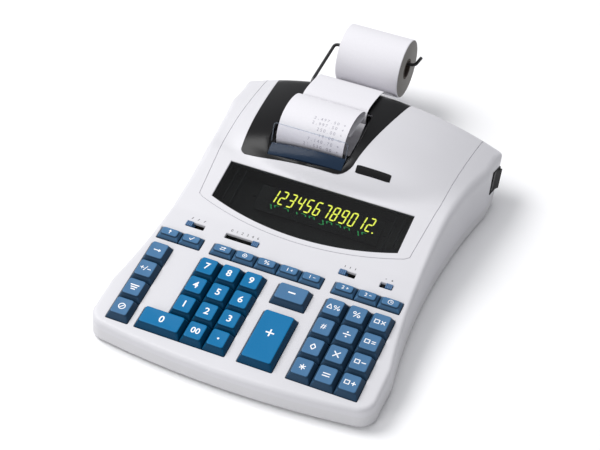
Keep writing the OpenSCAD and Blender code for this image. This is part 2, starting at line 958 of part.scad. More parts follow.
// Key cap with sloping sides, a dished top and a stem.
module key(x, y, w, d, rise, tint) {
    top_w = w / 2 - key_taper;
    front_d = d / 2 - key_taper - 0.6;
    back_d = d / 2 - key_taper + 0.9;
    dish = 4 * w;
    cut = 1.2;
    color(tint)
        place()
            on_deck()
                translate([x, y, 0]) {
                    difference() {
                        intersection() {
                            across(w)
                                polygon([[-d / 2, -key_skirt], [d / 2, -key_skirt], [d / 2, flank_foot],
                                    [back_d, rise], [-front_d, rise], [-d / 2, flank_foot]]);
                            translate([0, d / 2, 0])
                                rotate([90, 0, 0])
                                    linear_extrude(height = d)
                                        polygon([[-w / 2, -key_skirt], [w / 2, -key_skirt],
                                            [w / 2, flank_foot], [top_w, rise], [-top_w, rise],
                                            [-w / 2, flank_foot]]);
                        }
                        translate([0, -d, rise + dish - cap_dish])
                            rotate([-90, 0, 0])
                                cylinder(r = dish, h = 2 * d, $fn = 180);
                        for (i = [-1, 1])
                            for (j = [-1, 1])
                                translate([i * w / 2, j * d / 2, 0])
                                    rotate([0, 0, 45])
                                        cube([cut, cut, 3 * key_skirt], center = true);
                        // Hollow underneath.
                        translate([cap_wall - w / 2, cap_wall - d / 2, -key_skirt - 1])
                            cube([w - 2 * cap_wall, d - 2 * cap_wall, key_skirt + 1]);
                    }
                    translate([0, 0, stem_end])
                        cylinder(r = stem_radius, h = 1 - stem_end, $fn = 48);
                }
}

module main_key(x, y, tint) {
    key(x, y, key_width, key_depth, key_rise, tint);
}

module function_key(x) {
    key(x, row_function, key_width, function_depth, function_rise, slate);
}

module key_1() { main_key(col_number - pitch_x, row_two, blue); }
module key_2() { main_key(col_number, row_two, blue); }
module key_3() { main_key(col_number + pitch_x, row_two, blue); }
module key_4() { main_key(col_number - pitch_x, row_three, blue); }
module key_5() { main_key(col_number, row_three, blue); }
module key_6() { main_key(col_number + pitch_x, row_three, blue); }
module key_7() { main_key(col_number - pitch_x, row_four, blue); }
module key_8() { main_key(col_number, row_four, blue); }
module key_9() { main_key(col_number + pitch_x, row_four, blue); }
module key_0() { key(col_number - 1.5 * pitch_x, row_one, 2 * pitch_x - key_gap, key_depth, key_rise, blue); }
module key_00() { main_key(col_number, row_one, blue); }
module key_point() { main_key(col_number + pitch_x, row_one, blue); }
module key_plus() { key(col_sum, plus_y, sum_width, plus_depth, key_rise + 0.4, blue); }
module key_minus() { key(col_sum, row_four, sum_width, key_depth, key_rise, slate); }
module key_clear() { main_key(col_left, row_one, slate); }
module key_margin() { main_key(col_left, row_two, slate); }
module key_sign() { main_key(col_left, row_three, slate); }
module key_shift() { main_key(col_left, row_four, slate); }
module key_feed() { function_key(col_left); }
module key_tick() { function_key(col_left + pitch_x); }
module key_exchange() { function_key(col_function - 2 * pitch_x); }
module key_local() { function_key(col_function - pitch_x); }
module key_rate() { function_key(col_function); }
module key_tax1_plus() { function_key(col_function + pitch_x); }
module key_tax1_minus() { function_key(col_function + 2 * pitch_x); }
module key_tax2_plus() { function_key(col_right - pitch_x); }
module key_tax2_minus() { function_key(col_right); }
module key_time() { function_key(col_right + pitch_x); }
module key_delta() { main_key(col_right - pitch_x, row_four, slate); }
module key_percent() { main_key(col_right, row_four, slate); }
module key_memory_clear() { main_key(col_right + pitch_x, row_four, slate); }
module key_date() { main_key(col_right - pitch_x, row_three, slate); }
module key_divide() { main_key(col_right, row_three, slate); }
module key_memory_recall() { main_key(col_right + pitch_x, row_three, slate); }
module key_subtotal() { main_key(col_right - pitch_x, row_two, slate); }
module key_multiply() { main_key(col_right, row_two, slate); }
module key_memory_minus() { main_key(col_right + pitch_x, row_two, slate); }
module key_total() { main_key(col_right - pitch_x, row_one, slate); }
module key_equals() { main_key(col_right, row_one, slate); }
module key_memory_plus() { main_key(col_right + pitch_x, row_one, slate); }

base_shell();
top_shell();
rubber_feet();
case_screws();
display_window();
display_tube();
circuit_board();
key_mat();
printer_frame();
platen_roller();
printer_cover();
tear_window();
paper_strip();
paper_roll();
roll_holder();
power_rocker();
slide_print();
slide_decimal();
slide_round();
slide_rate();
key_1();
key_2();
key_3();
key_4();
key_5();
key_6();
key_7();
key_8();
key_9();
key_0();
key_00();
key_point();
key_plus();
key_minus();
key_clear();
key_margin();
key_sign();
key_shift();
key_feed();
key_tick();
key_exchange();
key_local();
key_rate();
key_tax1_plus();
key_tax1_minus();
key_tax2_plus();
key_tax2_minus();
key_time();
key_delta();
key_percent();
key_memory_clear();
key_date();
key_divide();
key_memory_recall();
key_subtotal();
key_multiply();
key_memory_minus();
key_total();
key_equals();
key_memory_plus();
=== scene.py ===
"""Looks of the printing desk calculator: materials, case skin, keys, legends, digits, paper and wire."""

import json
import math

import bmesh
import bpy
from mathutils import Matrix, Vector
from mathutils.geometry import delaunay_2d_cdt


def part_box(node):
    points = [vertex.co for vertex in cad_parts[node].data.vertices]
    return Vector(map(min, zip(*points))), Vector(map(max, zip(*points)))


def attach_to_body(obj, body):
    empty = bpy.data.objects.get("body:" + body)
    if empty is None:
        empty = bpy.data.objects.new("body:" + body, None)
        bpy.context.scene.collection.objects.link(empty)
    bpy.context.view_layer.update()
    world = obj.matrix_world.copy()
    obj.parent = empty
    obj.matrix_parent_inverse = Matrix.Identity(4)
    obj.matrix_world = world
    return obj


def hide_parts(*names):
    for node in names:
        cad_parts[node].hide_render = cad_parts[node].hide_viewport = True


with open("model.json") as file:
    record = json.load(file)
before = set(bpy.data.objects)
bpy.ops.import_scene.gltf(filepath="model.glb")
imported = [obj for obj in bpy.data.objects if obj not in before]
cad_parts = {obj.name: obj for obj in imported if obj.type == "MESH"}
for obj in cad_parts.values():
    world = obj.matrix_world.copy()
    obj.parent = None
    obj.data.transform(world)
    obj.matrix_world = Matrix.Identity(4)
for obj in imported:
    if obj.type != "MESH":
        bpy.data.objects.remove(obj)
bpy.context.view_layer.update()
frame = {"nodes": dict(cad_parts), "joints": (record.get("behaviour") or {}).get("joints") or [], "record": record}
nodes = frame["nodes"]

MM = 0.001
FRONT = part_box("base_shell")[0].y
LAYOUT = Matrix.Translation((0, FRONT, 0)) @ Matrix.Scale(MM, 4)
SLOPE = math.asin([j for j in frame["joints"] if j["name"] == "key_5_press"][0]["axis"][1])
STEM_RADIUS = 1.8
STEM_END = 8.6
SKIRT = 4.0
CAP_TAPER = 2.1
GLYPH_LOW, GLYPH_HIGH = 0.02, 0.10
MARK_LOW, MARK_HIGH = -0.05, 0.04
WELD = 1e-5


# ---------------------------------------------------------------- frame lookups

def layout_box(node):
    """Corners of a CAD node in millimetres, with y measured from the front edge of the case."""
    lo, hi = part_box(node)
    inverse = LAYOUT.inverted()
    return inverse @ lo, inverse @ hi


def deck_seat(node):
    """Where a key meets the deck: its frame, and its width, depth and rise in millimetres."""
    lo, hi = layout_box(node)
    s, c = math.sin(SLOPE), math.cos(SLOPE)
    width = hi.x - lo.x
    depth = (hi.y - lo.y - (SKIRT + 0.4) * s) / c
    z = lo.z + STEM_RADIUS * s + STEM_END * c
    y = (lo.y + hi.y) / 2 - (SKIRT - 0.4) / 2 * s
    rise = (hi.z - z - (depth / 2 - CAP_TAPER + 0.9) * s) / c
    seat = LAYOUT @ Matrix.Translation(((lo.x + hi.x) / 2, y, z)) @ Matrix.Rotation(SLOPE, 4, "X")
    return seat, width, depth, rise


# ---------------------------------------------------------------- materials

def new_material(name):
    mat = bpy.data.materials.new(name)
    mat.use_nodes = True
    return mat, mat.node_tree, mat.node_tree.nodes["Principled BSDF"]


def plug(tree, node, inputs):
    """Sets each input of a node to a value, or links it to the output of another node."""
    for key, value in inputs.items():
        if isinstance(value, bpy.types.NodeSocket):
            tree.links.new(value, node.inputs[key])
        else:
            node.inputs[key].default_value = value


def add(tree, kind, inputs, **settings):
    node = tree.nodes.new(kind)
    for key, value in settings.items():
        setattr(node, key, value)
    plug(tree, node, inputs)
    return node


def shade(rgb, factor):
    return (rgb[0] * factor, rgb[1] * factor, rgb[2] * factor, 1)


def noise(tree, scale, detail):
    """Noise in the object's own coordinates, as a factor."""
    where = add(tree, "ShaderNodeTexCoord", {}).outputs["Object"]
    return add(tree, "ShaderNodeTexNoise", {"Scale": scale, "Detail": detail, "Vector": where}).outputs["Fac"]


def tones(tree, factor, rgb, dark, light):
    """Colour between a darker and a lighter tone."""
    mix = add(tree, "ShaderNodeMix", {0: factor, 6: shade(rgb, dark), 7: shade(rgb, light)}, data_type="RGBA")
    return mix.outputs[2]


def spread(tree, factor, low, high, start=0.0, end=1.0):
    """Maps a factor from start and end to low and high."""
    inputs = {"Value": factor, "From Min": start, "From Max": end, "To Min": low, "To Max": high}
    return add(tree, "ShaderNodeMapRange", inputs).outputs["Result"]


def relief(tree, height, strength, distance):
    inputs = {"Strength": strength, "Distance": distance, "Height": height}
    return add(tree, "ShaderNodeBump", inputs).outputs["Normal"]


def moulded(name, rgb, rough, grain=0.06, grain_scale=1400, drift=0.04, coat=0.0, shine=0.5):
    """Moulded plastic or rubber: a fine grain, a slow drift of colour and uneven gloss."""
    mat, tree, shader = new_material(name)
    fine = noise(tree, grain_scale, 3.0)
    plug(tree, shader, {
        "Base Color": tones(tree, noise(tree, 18.0, 2.0), rgb, 1 - drift, 1 + drift),
        "Roughness": spread(tree, fine, rough - 0.05, rough + 0.06),
        "Normal": relief(tree, fine, grain, 0.0002),
        "Specular IOR Level": shine,
        "Coat Weight": coat,
        "Coat Roughness": 0.08,
    })
    return mat


def key_plastic(name, rgb):
    """Key plastic with painted shade: the flanks are painted darker than the tops, as if they lie in shade."""
    mat = moulded(name, rgb, 0.42, grain=0.08, shine=0.12)
    tree = mat.node_tree
    shader = tree.nodes["Principled BSDF"]
    # Painted shade: the colour is multiplied down where the face turns away from straight up, so the flanks read
    # as shaded.
    facing = add(tree, "ShaderNodeNewGeometry", {}).outputs["Normal"]
    upward = add(tree, "ShaderNodeSeparateXYZ", {0: facing}).outputs["Z"]
    level = spread(tree, upward, 0.30, 1.0, 0.55, 0.93)
    tint = shader.inputs["Base Color"].links[0].from_socket
    shaded_flanks = add(tree, "ShaderNodeMix", {0: 1.0, 6: tint, 7: level}, data_type="RGBA", blend_type="MULTIPLY")
    plug(tree, shader, {"Base Color": shaded_flanks.outputs[2]})
    return mat


def clear_tinted(name, rgb, see_through, rough, body=(0.004, 0.004, 0.005), shine=0.3):
    """Tinted acrylic sheet: part of what is behind shows, with a glossy face."""
    mat, tree, shader = new_material(name)
    plug(tree, shader, {
        "Base Color": (*body, 1),
        "Specular IOR Level": shine,
        "Roughness": spread(tree, noise(tree, 60.0, 2.0), rough, rough + 0.05),
    })
    glass = add(tree, "ShaderNodeBsdfTransparent", {"Color": (*rgb, 1)})
    blend = {0: see_through, 1: shader.outputs["BSDF"], 2: glass.outputs["BSDF"]}
    mix = add(tree, "ShaderNodeMixShader", blend)
    plug(tree, tree.nodes["Material Output"], {"Surface": mix.outputs["Shader"]})
    return mat


def metal(name, rgb, rough, scratches):
    mat, tree, shader = new_material(name)
    grain = noise(tree, scratches, 4.0)
    plug(tree, shader, {
        "Base Color": tones(tree, grain, rgb, 0.85, 1.1),
        "Roughness": spread(tree, grain, rough - 0.08, rough + 0.1),
        "Metallic": 1.0,
    })
    return mat


def glowing(name, rgb, strength):
    mat, tree, shader = new_material(name)
    tint = tones(tree, noise(tree, 900.0, 2.0), rgb, 0.85, 1.1)
    plug(tree, shader, {"Base Color": tint, "Emission Color": tint, "Emission Strength": strength,
                        "Roughness": 0.6})
    return mat


def wound_edges(tree, centre):
    """Fine rings round an axis along X, as a factor."""

    def vector_step(operation, *values):
        return add(tree, "ShaderNodeVectorMath", dict(enumerate(values)), operation=operation)

    def step(operation, *values):
        return add(tree, "ShaderNodeMath", dict(enumerate(values)), operation=operation).outputs[0]

    where = add(tree, "ShaderNodeTexCoord", {}).outputs["Object"]
    shift = vector_step("SUBTRACT", where, centre).outputs[0]
    flat = vector_step("MULTIPLY", shift, (0, 1, 1)).outputs[0]
    radius = vector_step("LENGTH", flat).outputs["Value"]
    wave = step("SINE", step("MULTIPLY", radius, 9000.0))
    blur = add(tree, "ShaderNodeTexNoise", {}, noise_dimensions="1D")
    plug(tree, blur, {"Scale": 1.0, "Detail": 2.0, "W": step("MULTIPLY", radius, 1800.0)})
    return step("MULTIPLY_ADD", wave, 0.18, blur.outputs["Fac"])


def paper(name, rgb, ring_centre=None):
    """Bond paper with a faint fibre grain; wound ends show the edges of their turns."""
    mat, tree, shader = new_material(name)
    wound = ring_centre is not None
    grain = wound_edges(tree, ring_centre) if wound else noise(tree, 700.0, 5.0)
    plug(tree, shader, {
        "Base Color": tones(tree, grain, rgb, 0.80 if wound else 0.965, 1.02),
        "Normal": relief(tree, grain, 0.12, 0.0001),
        "Roughness": 0.75,
        "Specular IOR Level": 0.3,
    })
    return mat


CASE = moulded("case_plastic", (0.595, 0.59, 0.615), 0.45, grain=0.05)
CASE_BASE = moulded("case_base_plastic", (0.575, 0.57, 0.585), 0.48, grain=0.08)
BLACK = moulded("cover_gloss_black", (0.0065, 0.0065, 0.007), 0.30, grain=0.02, shine=0.15)
ROCKER = moulded("rocker_black", (0.006, 0.006, 0.007), 0.4, grain=0.05, shine=0.08)
BRIGHT = key_plastic("key_bright_blue", (0.002, 0.145, 0.335))
SLATE = key_plastic("key_slate_blue", (0.062, 0.160, 0.300))
KNOB = moulded("slide_blue", (0.05, 0.14, 0.29), 0.34, grain=0.05)
RUBBER = moulded("foot_rubber", (0.035, 0.035, 0.035), 0.75, grain=0.3)
PLATEN_RUBBER = moulded("platen_rubber", (0.03, 0.03, 0.033), 0.6, grain=0.2)
MAT = moulded("key_mat_silicone", (0.05, 0.06, 0.07), 0.6, grain=0.1)
BOARD = moulded("board_green", (0.03, 0.13, 0.05), 0.35, grain=0.1, grain_scale=400, drift=0.15)
FRAME_DARK = moulded("mechanism_plastic", (0.045, 0.047, 0.052), 0.5, grain=0.1)
TUBE = moulded("display_tube_glass", (0.006, 0.008, 0.008), 0.15, grain=0.0)
RIB = moulded("display_rib_grey", (0.045, 0.048, 0.055), 0.5, grain=0.05)
TRAY = moulded("display_tray_black", (0.006, 0.007, 0.008), 0.3, grain=0.02)
INK = moulded("ink_grey", (0.30, 0.29, 0.34), 0.7, grain=0.02)
DARK_INK = moulded("ink_dark", (0.05, 0.05, 0.055), 0.6, grain=0.02)
LEGEND = moulded("legend_white", (0.86, 0.86, 0.88), 0.45, grain=0.02)
# Cardboard brown of the core, darkened far below its own tone as painted shade of the bore.
CORE = moulded("core_cardboard_painted_shade", (0.045, 0.033, 0.025), 0.85, grain=0.4, grain_scale=600, drift=0.12)
WINDOW = clear_tinted("window_smoked", (0.56, 0.58, 0.58), 0.82, 0.22, shine=0.4)
TEAR = clear_tinted("tear_blue", (0.06, 0.16, 0.30), 0.25, 0.15, (0.018, 0.034, 0.064), 0.1)
BLADE = clear_tinted("blade_clear", (0.99, 0.99, 1.0), 0.985, 0.05, shine=0.1)
RIM = clear_tinted("blade_edge", (0.90, 0.93, 0.96), 0.80, 0.2, (0.30, 0.34, 0.40))
STEEL = metal("screw_zinc", (0.55, 0.55, 0.57), 0.35, 900.0)
WIRE = moulded("holder_wire_black", (0.012, 0.012, 0.013), 0.3, grain=0.05, coat=0.3)
GLOW = glowing("digit_glow", (0.80, 0.82, 0.09), 5.0)
# Glow of the painted reflection under the digits; that copy is no lamp.
PAINTED_REFLECTION_GLOW = glowing("digit_painted_reflection", (0.03, 0.45, 0.12), 2.0)
PAPER = paper("bond_paper", (0.70, 0.69, 0.72))


# ---------------------------------------------------------------- mesh helpers

def in_scene(name, data):
    obj = bpy.data.objects.new(name, data)
    bpy.context.scene.collection.objects.link(obj)
    return obj


def evaluated_mesh(obj):
    bpy.context.view_layer.update()
    return bpy.data.meshes.new_from_object(obj.evaluated_get(bpy.context.evaluated_depsgraph_get()))


class Sketch:
    """Collects closed solids in millimetres, then becomes one object."""

    def __init__(self):
        self.verts = []
        self.faces = []

    def join(self, low, high):
        """Quads between two closed loops of vertex numbers."""
        for i in range(len(low)):
            j = (i + 1) % len(low)
            self.faces.append((low[i], low[j], high[j], high[i]))

    def loft(self, rings, closed=False):
        """Skins a row of rings with the same number of points, capped or closed on itself."""
        base, n = len(self.verts), len(rings[0])
        loops = [range(base + k * n, base + (k + 1) * n) for k in range(len(rings))]
        for ring in rings:
            self.verts.extend(tuple(p) for p in ring)
        for low, high in zip(loops, loops[1:]):
            self.join(low, high)
        if closed:
            self.join(loops[-1], loops[0])
        else:
            self.faces += [tuple(reversed(loops[0])), tuple(loops[-1])]

    def prism(self, outline, low=GLYPH_LOW, high=GLYPH_HIGH):
        self.loft([[(x, y, z) for x, y in outline] for z in (low, high)])

    def stroke(self, a, b, width, low=GLYPH_LOW, high=GLYPH_HIGH):
        """Straight bar between two points."""
        a, b = Vector(a), Vector(b)
        run = b - a
        side = Vector((-run.y, run.x)).normalized() * width / 2
        self.prism([a - side, b - side, b + side, a + side], low, high)

    def figure(self, corners, width):
        """Bars from corner to corner, all the way round."""
        for a, b in zip(corners, corners[1:] + corners[:1]):
            self.stroke(a, b, width)

    def turned(self, profile, steps, place):
        """Ring turned all the way round; place(p, c, s) puts a profile point at one angle."""
        angles = [2 * math.pi * k / steps for k in range(steps)]
        self.loft([[place(p, math.cos(a), math.sin(a)) for p in profile] for a in angles], closed=True)

    def ring(self, centre, radius, width):
        inner, outer = radius - width / 2, radius + width / 2
        profile = ((inner, GLYPH_LOW), (outer, GLYPH_LOW), (outer, GLYPH_HIGH), (inner, GLYPH_HIGH))
        self.turned(profile, 24, lambda p, c, s: (centre[0] + p[0] * c, centre[1] + p[0] * s, p[1]))

    def disc(self, centre, radius, low=GLYPH_LOW, high=GLYPH_HIGH, steps=20):
        turn = [2 * math.pi * k / steps for k in range(steps)]
        rim = [(centre[0] + radius * math.cos(a), centre[1] + radius * math.sin(a)) for a in turn]
        self.prism(rim, low, high)

    def text(self, body, size, centre, bold=0.0, low=GLYPH_LOW, high=GLYPH_HIGH):
        """Digits and signs from Blender's own font, as closed solids."""
        curve = bpy.data.curves.new("glyph", "FONT")
        curve.body = body
        curve.size = size
        curve.align_x = "CENTER"
        curve.offset = bold
        curve.extrude = (high - low) / 2
        curve.resolution_u = 3
        holder = in_scene("glyph", curve)
        mesh = evaluated_mesh(holder)
        ys = [v.co.y for v in mesh.vertices]
        middle = (min(ys) + max(ys)) / 2
        base = len(self.verts)
        for v in mesh.vertices:
            self.verts.append((v.co.x + centre[0], v.co.y - middle + centre[1], v.co.z + (low + high) / 2))
        for p in mesh.polygons:
            self.faces.append(tuple(base + i for i in p.vertices))
        bpy.data.objects.remove(holder)
        bpy.data.curves.remove(curve)
        bpy.data.meshes.remove(mesh)

    def build(self, name, matrix, material, smooth=35, warp=None):
        """Object of the solids; warp bends them first, in millimetres."""
        if warp:
            self.verts = [warp(Vector(v)) for v in self.verts]
        mesh = bpy.data.meshes.new(name)
        mesh.from_pydata([matrix @ Vector(v) for v in self.verts], [], self.faces)
        bm = bmesh.new()
        bm.from_mesh(mesh)
        bmesh.ops.remove_doubles(bm, verts=bm.verts, dist=WELD * MM)
        bmesh.ops.recalc_face_normals(bm, faces=bm.faces)
        bm.to_mesh(mesh)
        bm.free()
        obj = in_scene(name, mesh)
        mesh.materials.append(material)
        soften(obj, smooth)
        return obj


def soften(obj, degrees):
    """Smooth shading, with edges sharper than the angle kept sharp."""
    mesh = obj.data
    mesh.shade_smooth()
    bm = bmesh.new()
    bm.from_mesh(mesh)
    limit = math.radians(degrees)
    for e in bm.edges:
        e.smooth = not (len(e.link_faces) == 2 and e.calc_face_angle(0) > limit)
    bm.to_mesh(mesh)
    bm.free()


def attach(obj, body, replaces=()):
    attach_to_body(obj, body)
    if replaces:
        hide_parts(*replaces)


def rounded_box(x0, x1, y0, y1, r, z, steps=5):
    """Closed ring of a rectangle with round corners."""
    corners = ((x1 - r, y0 + r), (x1 - r, y1 - r), (x0 + r, y1 - r), (x0 + r, y0 + r))
    ring = []
    for quarter, (cx, cy) in enumerate(corners, -1):
        for k in range(steps + 1):
            a = math.radians(90 * quarter + 90 * k / steps)
            ring.append((cx + r * math.cos(a), cy + r * math.sin(a), z))
    return ring


def smooth_path(points, per_span):
    """Catmull-Rom curve through the points."""
    pts = [Vector(p) for p in points]
    pts = [pts[0]] + pts + [pts[-1]]
    out = []
    for p0, p1, p2, p3 in zip(pts, pts[1:], pts[2:], pts[3:]):
        for k in range(per_span):
            t = k / per_span
            out.append(0.5 * ((2 * p1) + (p2 - p0) * t + (2 * p0 - 5 * p1 + 4 * p2 - p3) * t * t
                              + (3 * p1 - p0 - 3 * p2 + p3) * t ** 3))
    out.append(pts[-1])
    return out


# ---------------------------------------------------------------- case shape

UNDERSIDE = 2.5
PARTING = 12.0
WALL = 2.4
AXIS_Z = -220.0
RAMP_Y, RAMP_Z = 131.0, 36.12
BROW_Y, BROW_Z = 188.4, 49.0
REAR_Y, REAR_TOP_Z = 306.5, 47.8
HUMP_SIDE = [(184, 44), (186, 47), (188.4, 49.2), (192, 53.6), (196.5, 58.2), (204.6, 64), (215, 67.8),
             (229, 69.7), (240, 70), (252, 69.6), (268, 68.4), (284, 66.6), (296, 64.8), (300.6, 63.4),
             (303.8, 61.2), (305.8, 58), (306.5, 54)]
FLAT_REAR = [(188.4, 49.0), (196, 50.6), (205, 50.8), (215, 49.6), (230, 46.8), (250, 43), (275, 39),
             (303, 35), (306.5, 33)]
HUMP_START = 184
COVER_FOOT = 41.0
RECESS = 0.8
KEY_PITCH = (18.4, 19.5)
FIRST_ROW, FUNCTION_ROW, SLIDE_ROW = 23.7, 103.8, 120.1
NUMBERS_X = -31
FUNCTION_DEPTH, SLIDE_SLOT = 11.8, 5.0
WELL_GAP, WELL_CORNER = 0.15, 0.8


def through(points, y):
    """Smooth curve through a side view, as a height at distance y from the front."""
    if y <= points[0][0]:
        slope = (points[1][1] - points[0][1]) / (points[1][0] - points[0][0])
        return points[0][1] + slope * (y - points[0][0])
    if y >= points[-1][0]:
        return points[-1][1]
    k = max(i for i in range(len(points) - 1) if points[i][0] <= y)
    p = [points[max(k - 1, 0)], points[k], points[k + 1], points[min(k + 2, len(points) - 1)]]
    gap = p[2][0] - p[1][0]
    t = (y - p[1][0]) / gap
    rise_in = (p[2][1] - p[0][1]) / (p[2][0] - p[0][0]) * gap
    rise_out = (p[3][1] - p[1][1]) / (p[3][0] - p[1][0]) * gap
    return ((2 * t ** 3 - 3 * t * t + 1) * p[1][1] + (t ** 3 - 2 * t * t + t) * rise_in
            + (3 * t * t - 2 * t ** 3) * p[2][1] + (t ** 3 - t * t) * rise_out)


def flat_height(y):
    if y < RAMP_Y:
        return RAMP_Z + (y - RAMP_Y) * math.tan(SLOPE)
    if y < BROW_Y:
        return RAMP_Z + (y - RAMP_Y) * (BROW_Z - RAMP_Z) / (BROW_Y - RAMP_Y)
    return through(FLAT_REAR, y)


def case_height(x, y):
    """Top of the case: the straight deck and ramp, blended into the arched hump."""
    flat = flat_height(y)
    if y < HUMP_START:
        return flat
    radius = through(HUMP_SIDE, y) - AXIS_Z
    arch = AXIS_Z + math.sqrt(radius ** 2 - x * x)
    blend = 2.0 + 5.0 * (x / 100) ** 2
    near = max(blend - abs(flat - arch), 0) / blend
    return max(flat, arch) + near * near * blend / 4


def half_width(y, z):
    wall = (114.0 if y < 152 else 116.0) - 0.03 * (z - UNDERSIDE)
    bow = 658.0 - math.sqrt((553.0 + 0.05 * z) ** 2 - (y - 152.0) ** 2)
    return min(wall, bow)


def back_edge(z):
    return 285.0 + (min(z, REAR_TOP_Z) - UNDERSIDE) * (REAR_Y - 285.0) / (REAR_TOP_Z - UNDERSIDE)


FRONT_R, CORNER_R, REAR_R = 720.0, 14.0, 5.0
COVER_SPAN = (-86.8, 32.9)


def outline(z):
    """Right half of the case outline at height z, from the middle of the front to the middle of the back."""
    pts = []
    xc = half_width(20, z) - CORNER_R
    swing = math.asin(xc / (FRONT_R - CORNER_R))
    yc = FRONT_R - (FRONT_R - CORNER_R) * math.cos(swing)
    for k in range(24):
        a = swing * k / 24
        pts.append((FRONT_R * math.sin(a), FRONT_R - FRONT_R * math.cos(a)))
    for k in range(11):
        a = swing - math.pi / 2 + (math.pi / 2 - swing) * k / 10
        pts.append((xc + CORNER_R * math.cos(a), yc + CORNER_R * math.sin(a)))
    yb = back_edge(z)
    y_end = yb - REAR_R
    for k in range(1, 91):
        y = yc + (y_end - yc) * k / 90
        pts.append((half_width(y, z), y))
    xr = half_width(280, z) - REAR_R
    for k in range(1, 7):
        a = math.pi / 2 * k / 6
        pts.append((xr + REAR_R * math.cos(a), yb - REAR_R + REAR_R * math.sin(a)))
    pts.extend((xr * (1 - k / 24), yb) for k in range(1, 25))
    return pts


def full_outline(z):
    right = outline(z)
    left = [(-x, y) for x, y in right]
    return right + left[-2:0:-1]


COUNT = len(full_outline(20.0))


def outline_table():
    """The outline at a row of heights, and the outward normals of its points."""
    levels = [10 + 0.5 * k for k in range(130)]
    table = [full_outline(z) for z in levels]
    base = table[20]
    normals = []
    for i in range(COUNT):
        a, b = base[i - 1], base[(i + 1) % COUNT]
        n = Vector((b[1] - a[1], a[0] - b[0]))
        normals.append(n.normalized())
    return levels, table, normals


LEVELS, TABLE, NORMALS = outline_table()


def wall_point(i, z):
    f = (z - LEVELS[0]) / 0.5
    k = max(0, min(int(f), len(LEVELS) - 2))
    t = f - k
    a, b = TABLE[k][i], TABLE[k + 1][i]
    return Vector((a[0] + (b[0] - a[0]) * t, a[1] + (b[1] - a[1]) * t))


def edge_height(i):
    low, high = 12.0, 74.0
    for _ in range(24):
        z = (low + high) / 2
        p = wall_point(i, z)
        low, high = (z, high) if case_height(p.x, p.y) > z else (low, z)
    return low


def edge_round(p):
    """Radius of the round between the top and the wall."""
    side = 3.2 + 2.6 * max(0.0, min(1.0, (p.y - 150) / 60))
    return max(1.4, side * max(0.0, min(1.0, (REAR_Y - 2 - p.y) / 14)))


# ---------------------------------------------------------------- plan outlines of what is let into the top

def rounded_loop(x0, x1, y0, y1, r, steps=3):
    return [(x, y) for x, y, _ in rounded_box(x0, x1, y0, y1, r, 0, steps)]


def deck_loop(x0, x1, u0, u1, r=0.8):
    """Loop drawn on the key deck, seen in plan."""
    return [(x, u * math.cos(SLOPE)) for x, u in rounded_loop(x0, x1, u0, u1, r)]


def display_loop(grow=0.0):
    """Display opening: an arc in front, straight at the back."""
    half, radius = 78.3 + grow, 229.0 + grow
    centre = 136.9 + 229.0
    top = BROW_Y - 1.2 + grow
    swing = math.asin(half / radius)
    turn = [swing * (k / 20) for k in range(-20, 21)]
    arc = [(radius * math.sin(a), centre - radius * math.cos(a)) for a in turn]
    return arc + [(half, top)] + [(half - 2 * half * k / 24, top) for k in range(1, 24)] + [(-half, top)]


def cover_loop(inset=0.0, end=None):
    """Cover outline, open at the back: from the right rear round the front to the left rear."""
    end = end or REAR_Y + 6
    front = 196.4 + inset
    slant_l, slant_r = (-87.6 + 75.6) / 116.1, (34 - 17.2) / 116.1
    left = lambda y: -75.6 + slant_l * (y - 196.4) + inset
    right = lambda y: 17.2 + slant_r * (y - 196.4) - inset
    pts = []
    steps = 30
    for k in range(steps + 1):
        y = end + (front + 13 - end) * k / steps
        pts.append((right(y), y))
    for k in range(1, 7):
        a = math.radians(90 * k / 6)
        r = 13.0
        cx = right(front + r) - r
        pts.append((cx + r * math.cos(a), front + r - r * math.sin(a)))
    start, stop = pts[-1][0], left(front + 6) + 6
    for k in range(1, 12):
        pts.append((start + (stop - start) * k / 12, front))
    for k in range(0, 7):
        a = math.radians(90 * k / 6)
        r = 6.0
        pts.append((stop - r * math.sin(a), front + r - r * math.cos(a)))
    for k in range(1, steps + 1):
        y = front + 6 + (end - front - 6) * k / steps
        pts.append((left(y), y))
    return pts


# ---------------------------------------------------------------- case skin

SEAM_CORNER, SEAM_KINK, SEAM_END = (88.5, 149.8), (93.2, 205.0), (97.0, 308.0)
SEAM_RADIUS, SEAM_CENTRE = 252.0, 384.3
SEAM_HALF = 0.38
SEAM_DEPTH = 0.6
WELL = (-53.0, 11.0, 199.4, 268.0)
EDGE_SOFT = 0.35
GRID_PITCH = 4.75
GRID_ROWS = ((124.5, 1.5, 9), (184, 2, 18), (220, 5, 15), (293, 1.4, 10))
GRID_CLEARANCE = 0.8
NEAR = 4
CASE_CREASE = 32


def seam_lines():
    """Middle line of the groove that frames the display, as one polyline."""
    swing = math.asin(SEAM_CORNER[0] / SEAM_RADIUS)
    turn = [swing * k / 24 for k in range(-23, 24)]
    arc = [(SEAM_RADIUS * math.sin(a), SEAM_CENTRE - SEAM_RADIUS * math.cos(a)) for a in turn]
    side = []
    for a, b, steps in ((SEAM_CORNER, SEAM_KINK, 14), (SEAM_KINK, SEAM_END, 30)):
        for k in range(steps):
            side.append((a[0] + (b[0] - a[0]) * k / steps, a[1] + (b[1] - a[1]) * k / steps))
    side.append(SEAM_END)
    return [(-x, y) for x, y in reversed(side)] + arc + side


def offset_line(pts, d):
    out = []
    for i, p in enumerate(pts):
        a, b = Vector(pts[max(i - 1, 0)]), Vector(pts[min(i + 1, len(pts) - 1)])
        t = (b - a).normalized()
        out.append((p[0] - t.y * d, p[1] + t.x * d))
    return out


def inside(pt, loop):
    x, y = pt
    hit = False
    j = len(loop) - 1
    for i in range(len(loop)):
        xi, yi, xj, yj = loop[i][0], loop[i][1], loop[j][0], loop[j][1]
        if (yi > y) != (yj > y) and x < (xj - xi) * (y - yi) / (yj - yi) + xi:
            hit = not hit
        j = i
    return hit


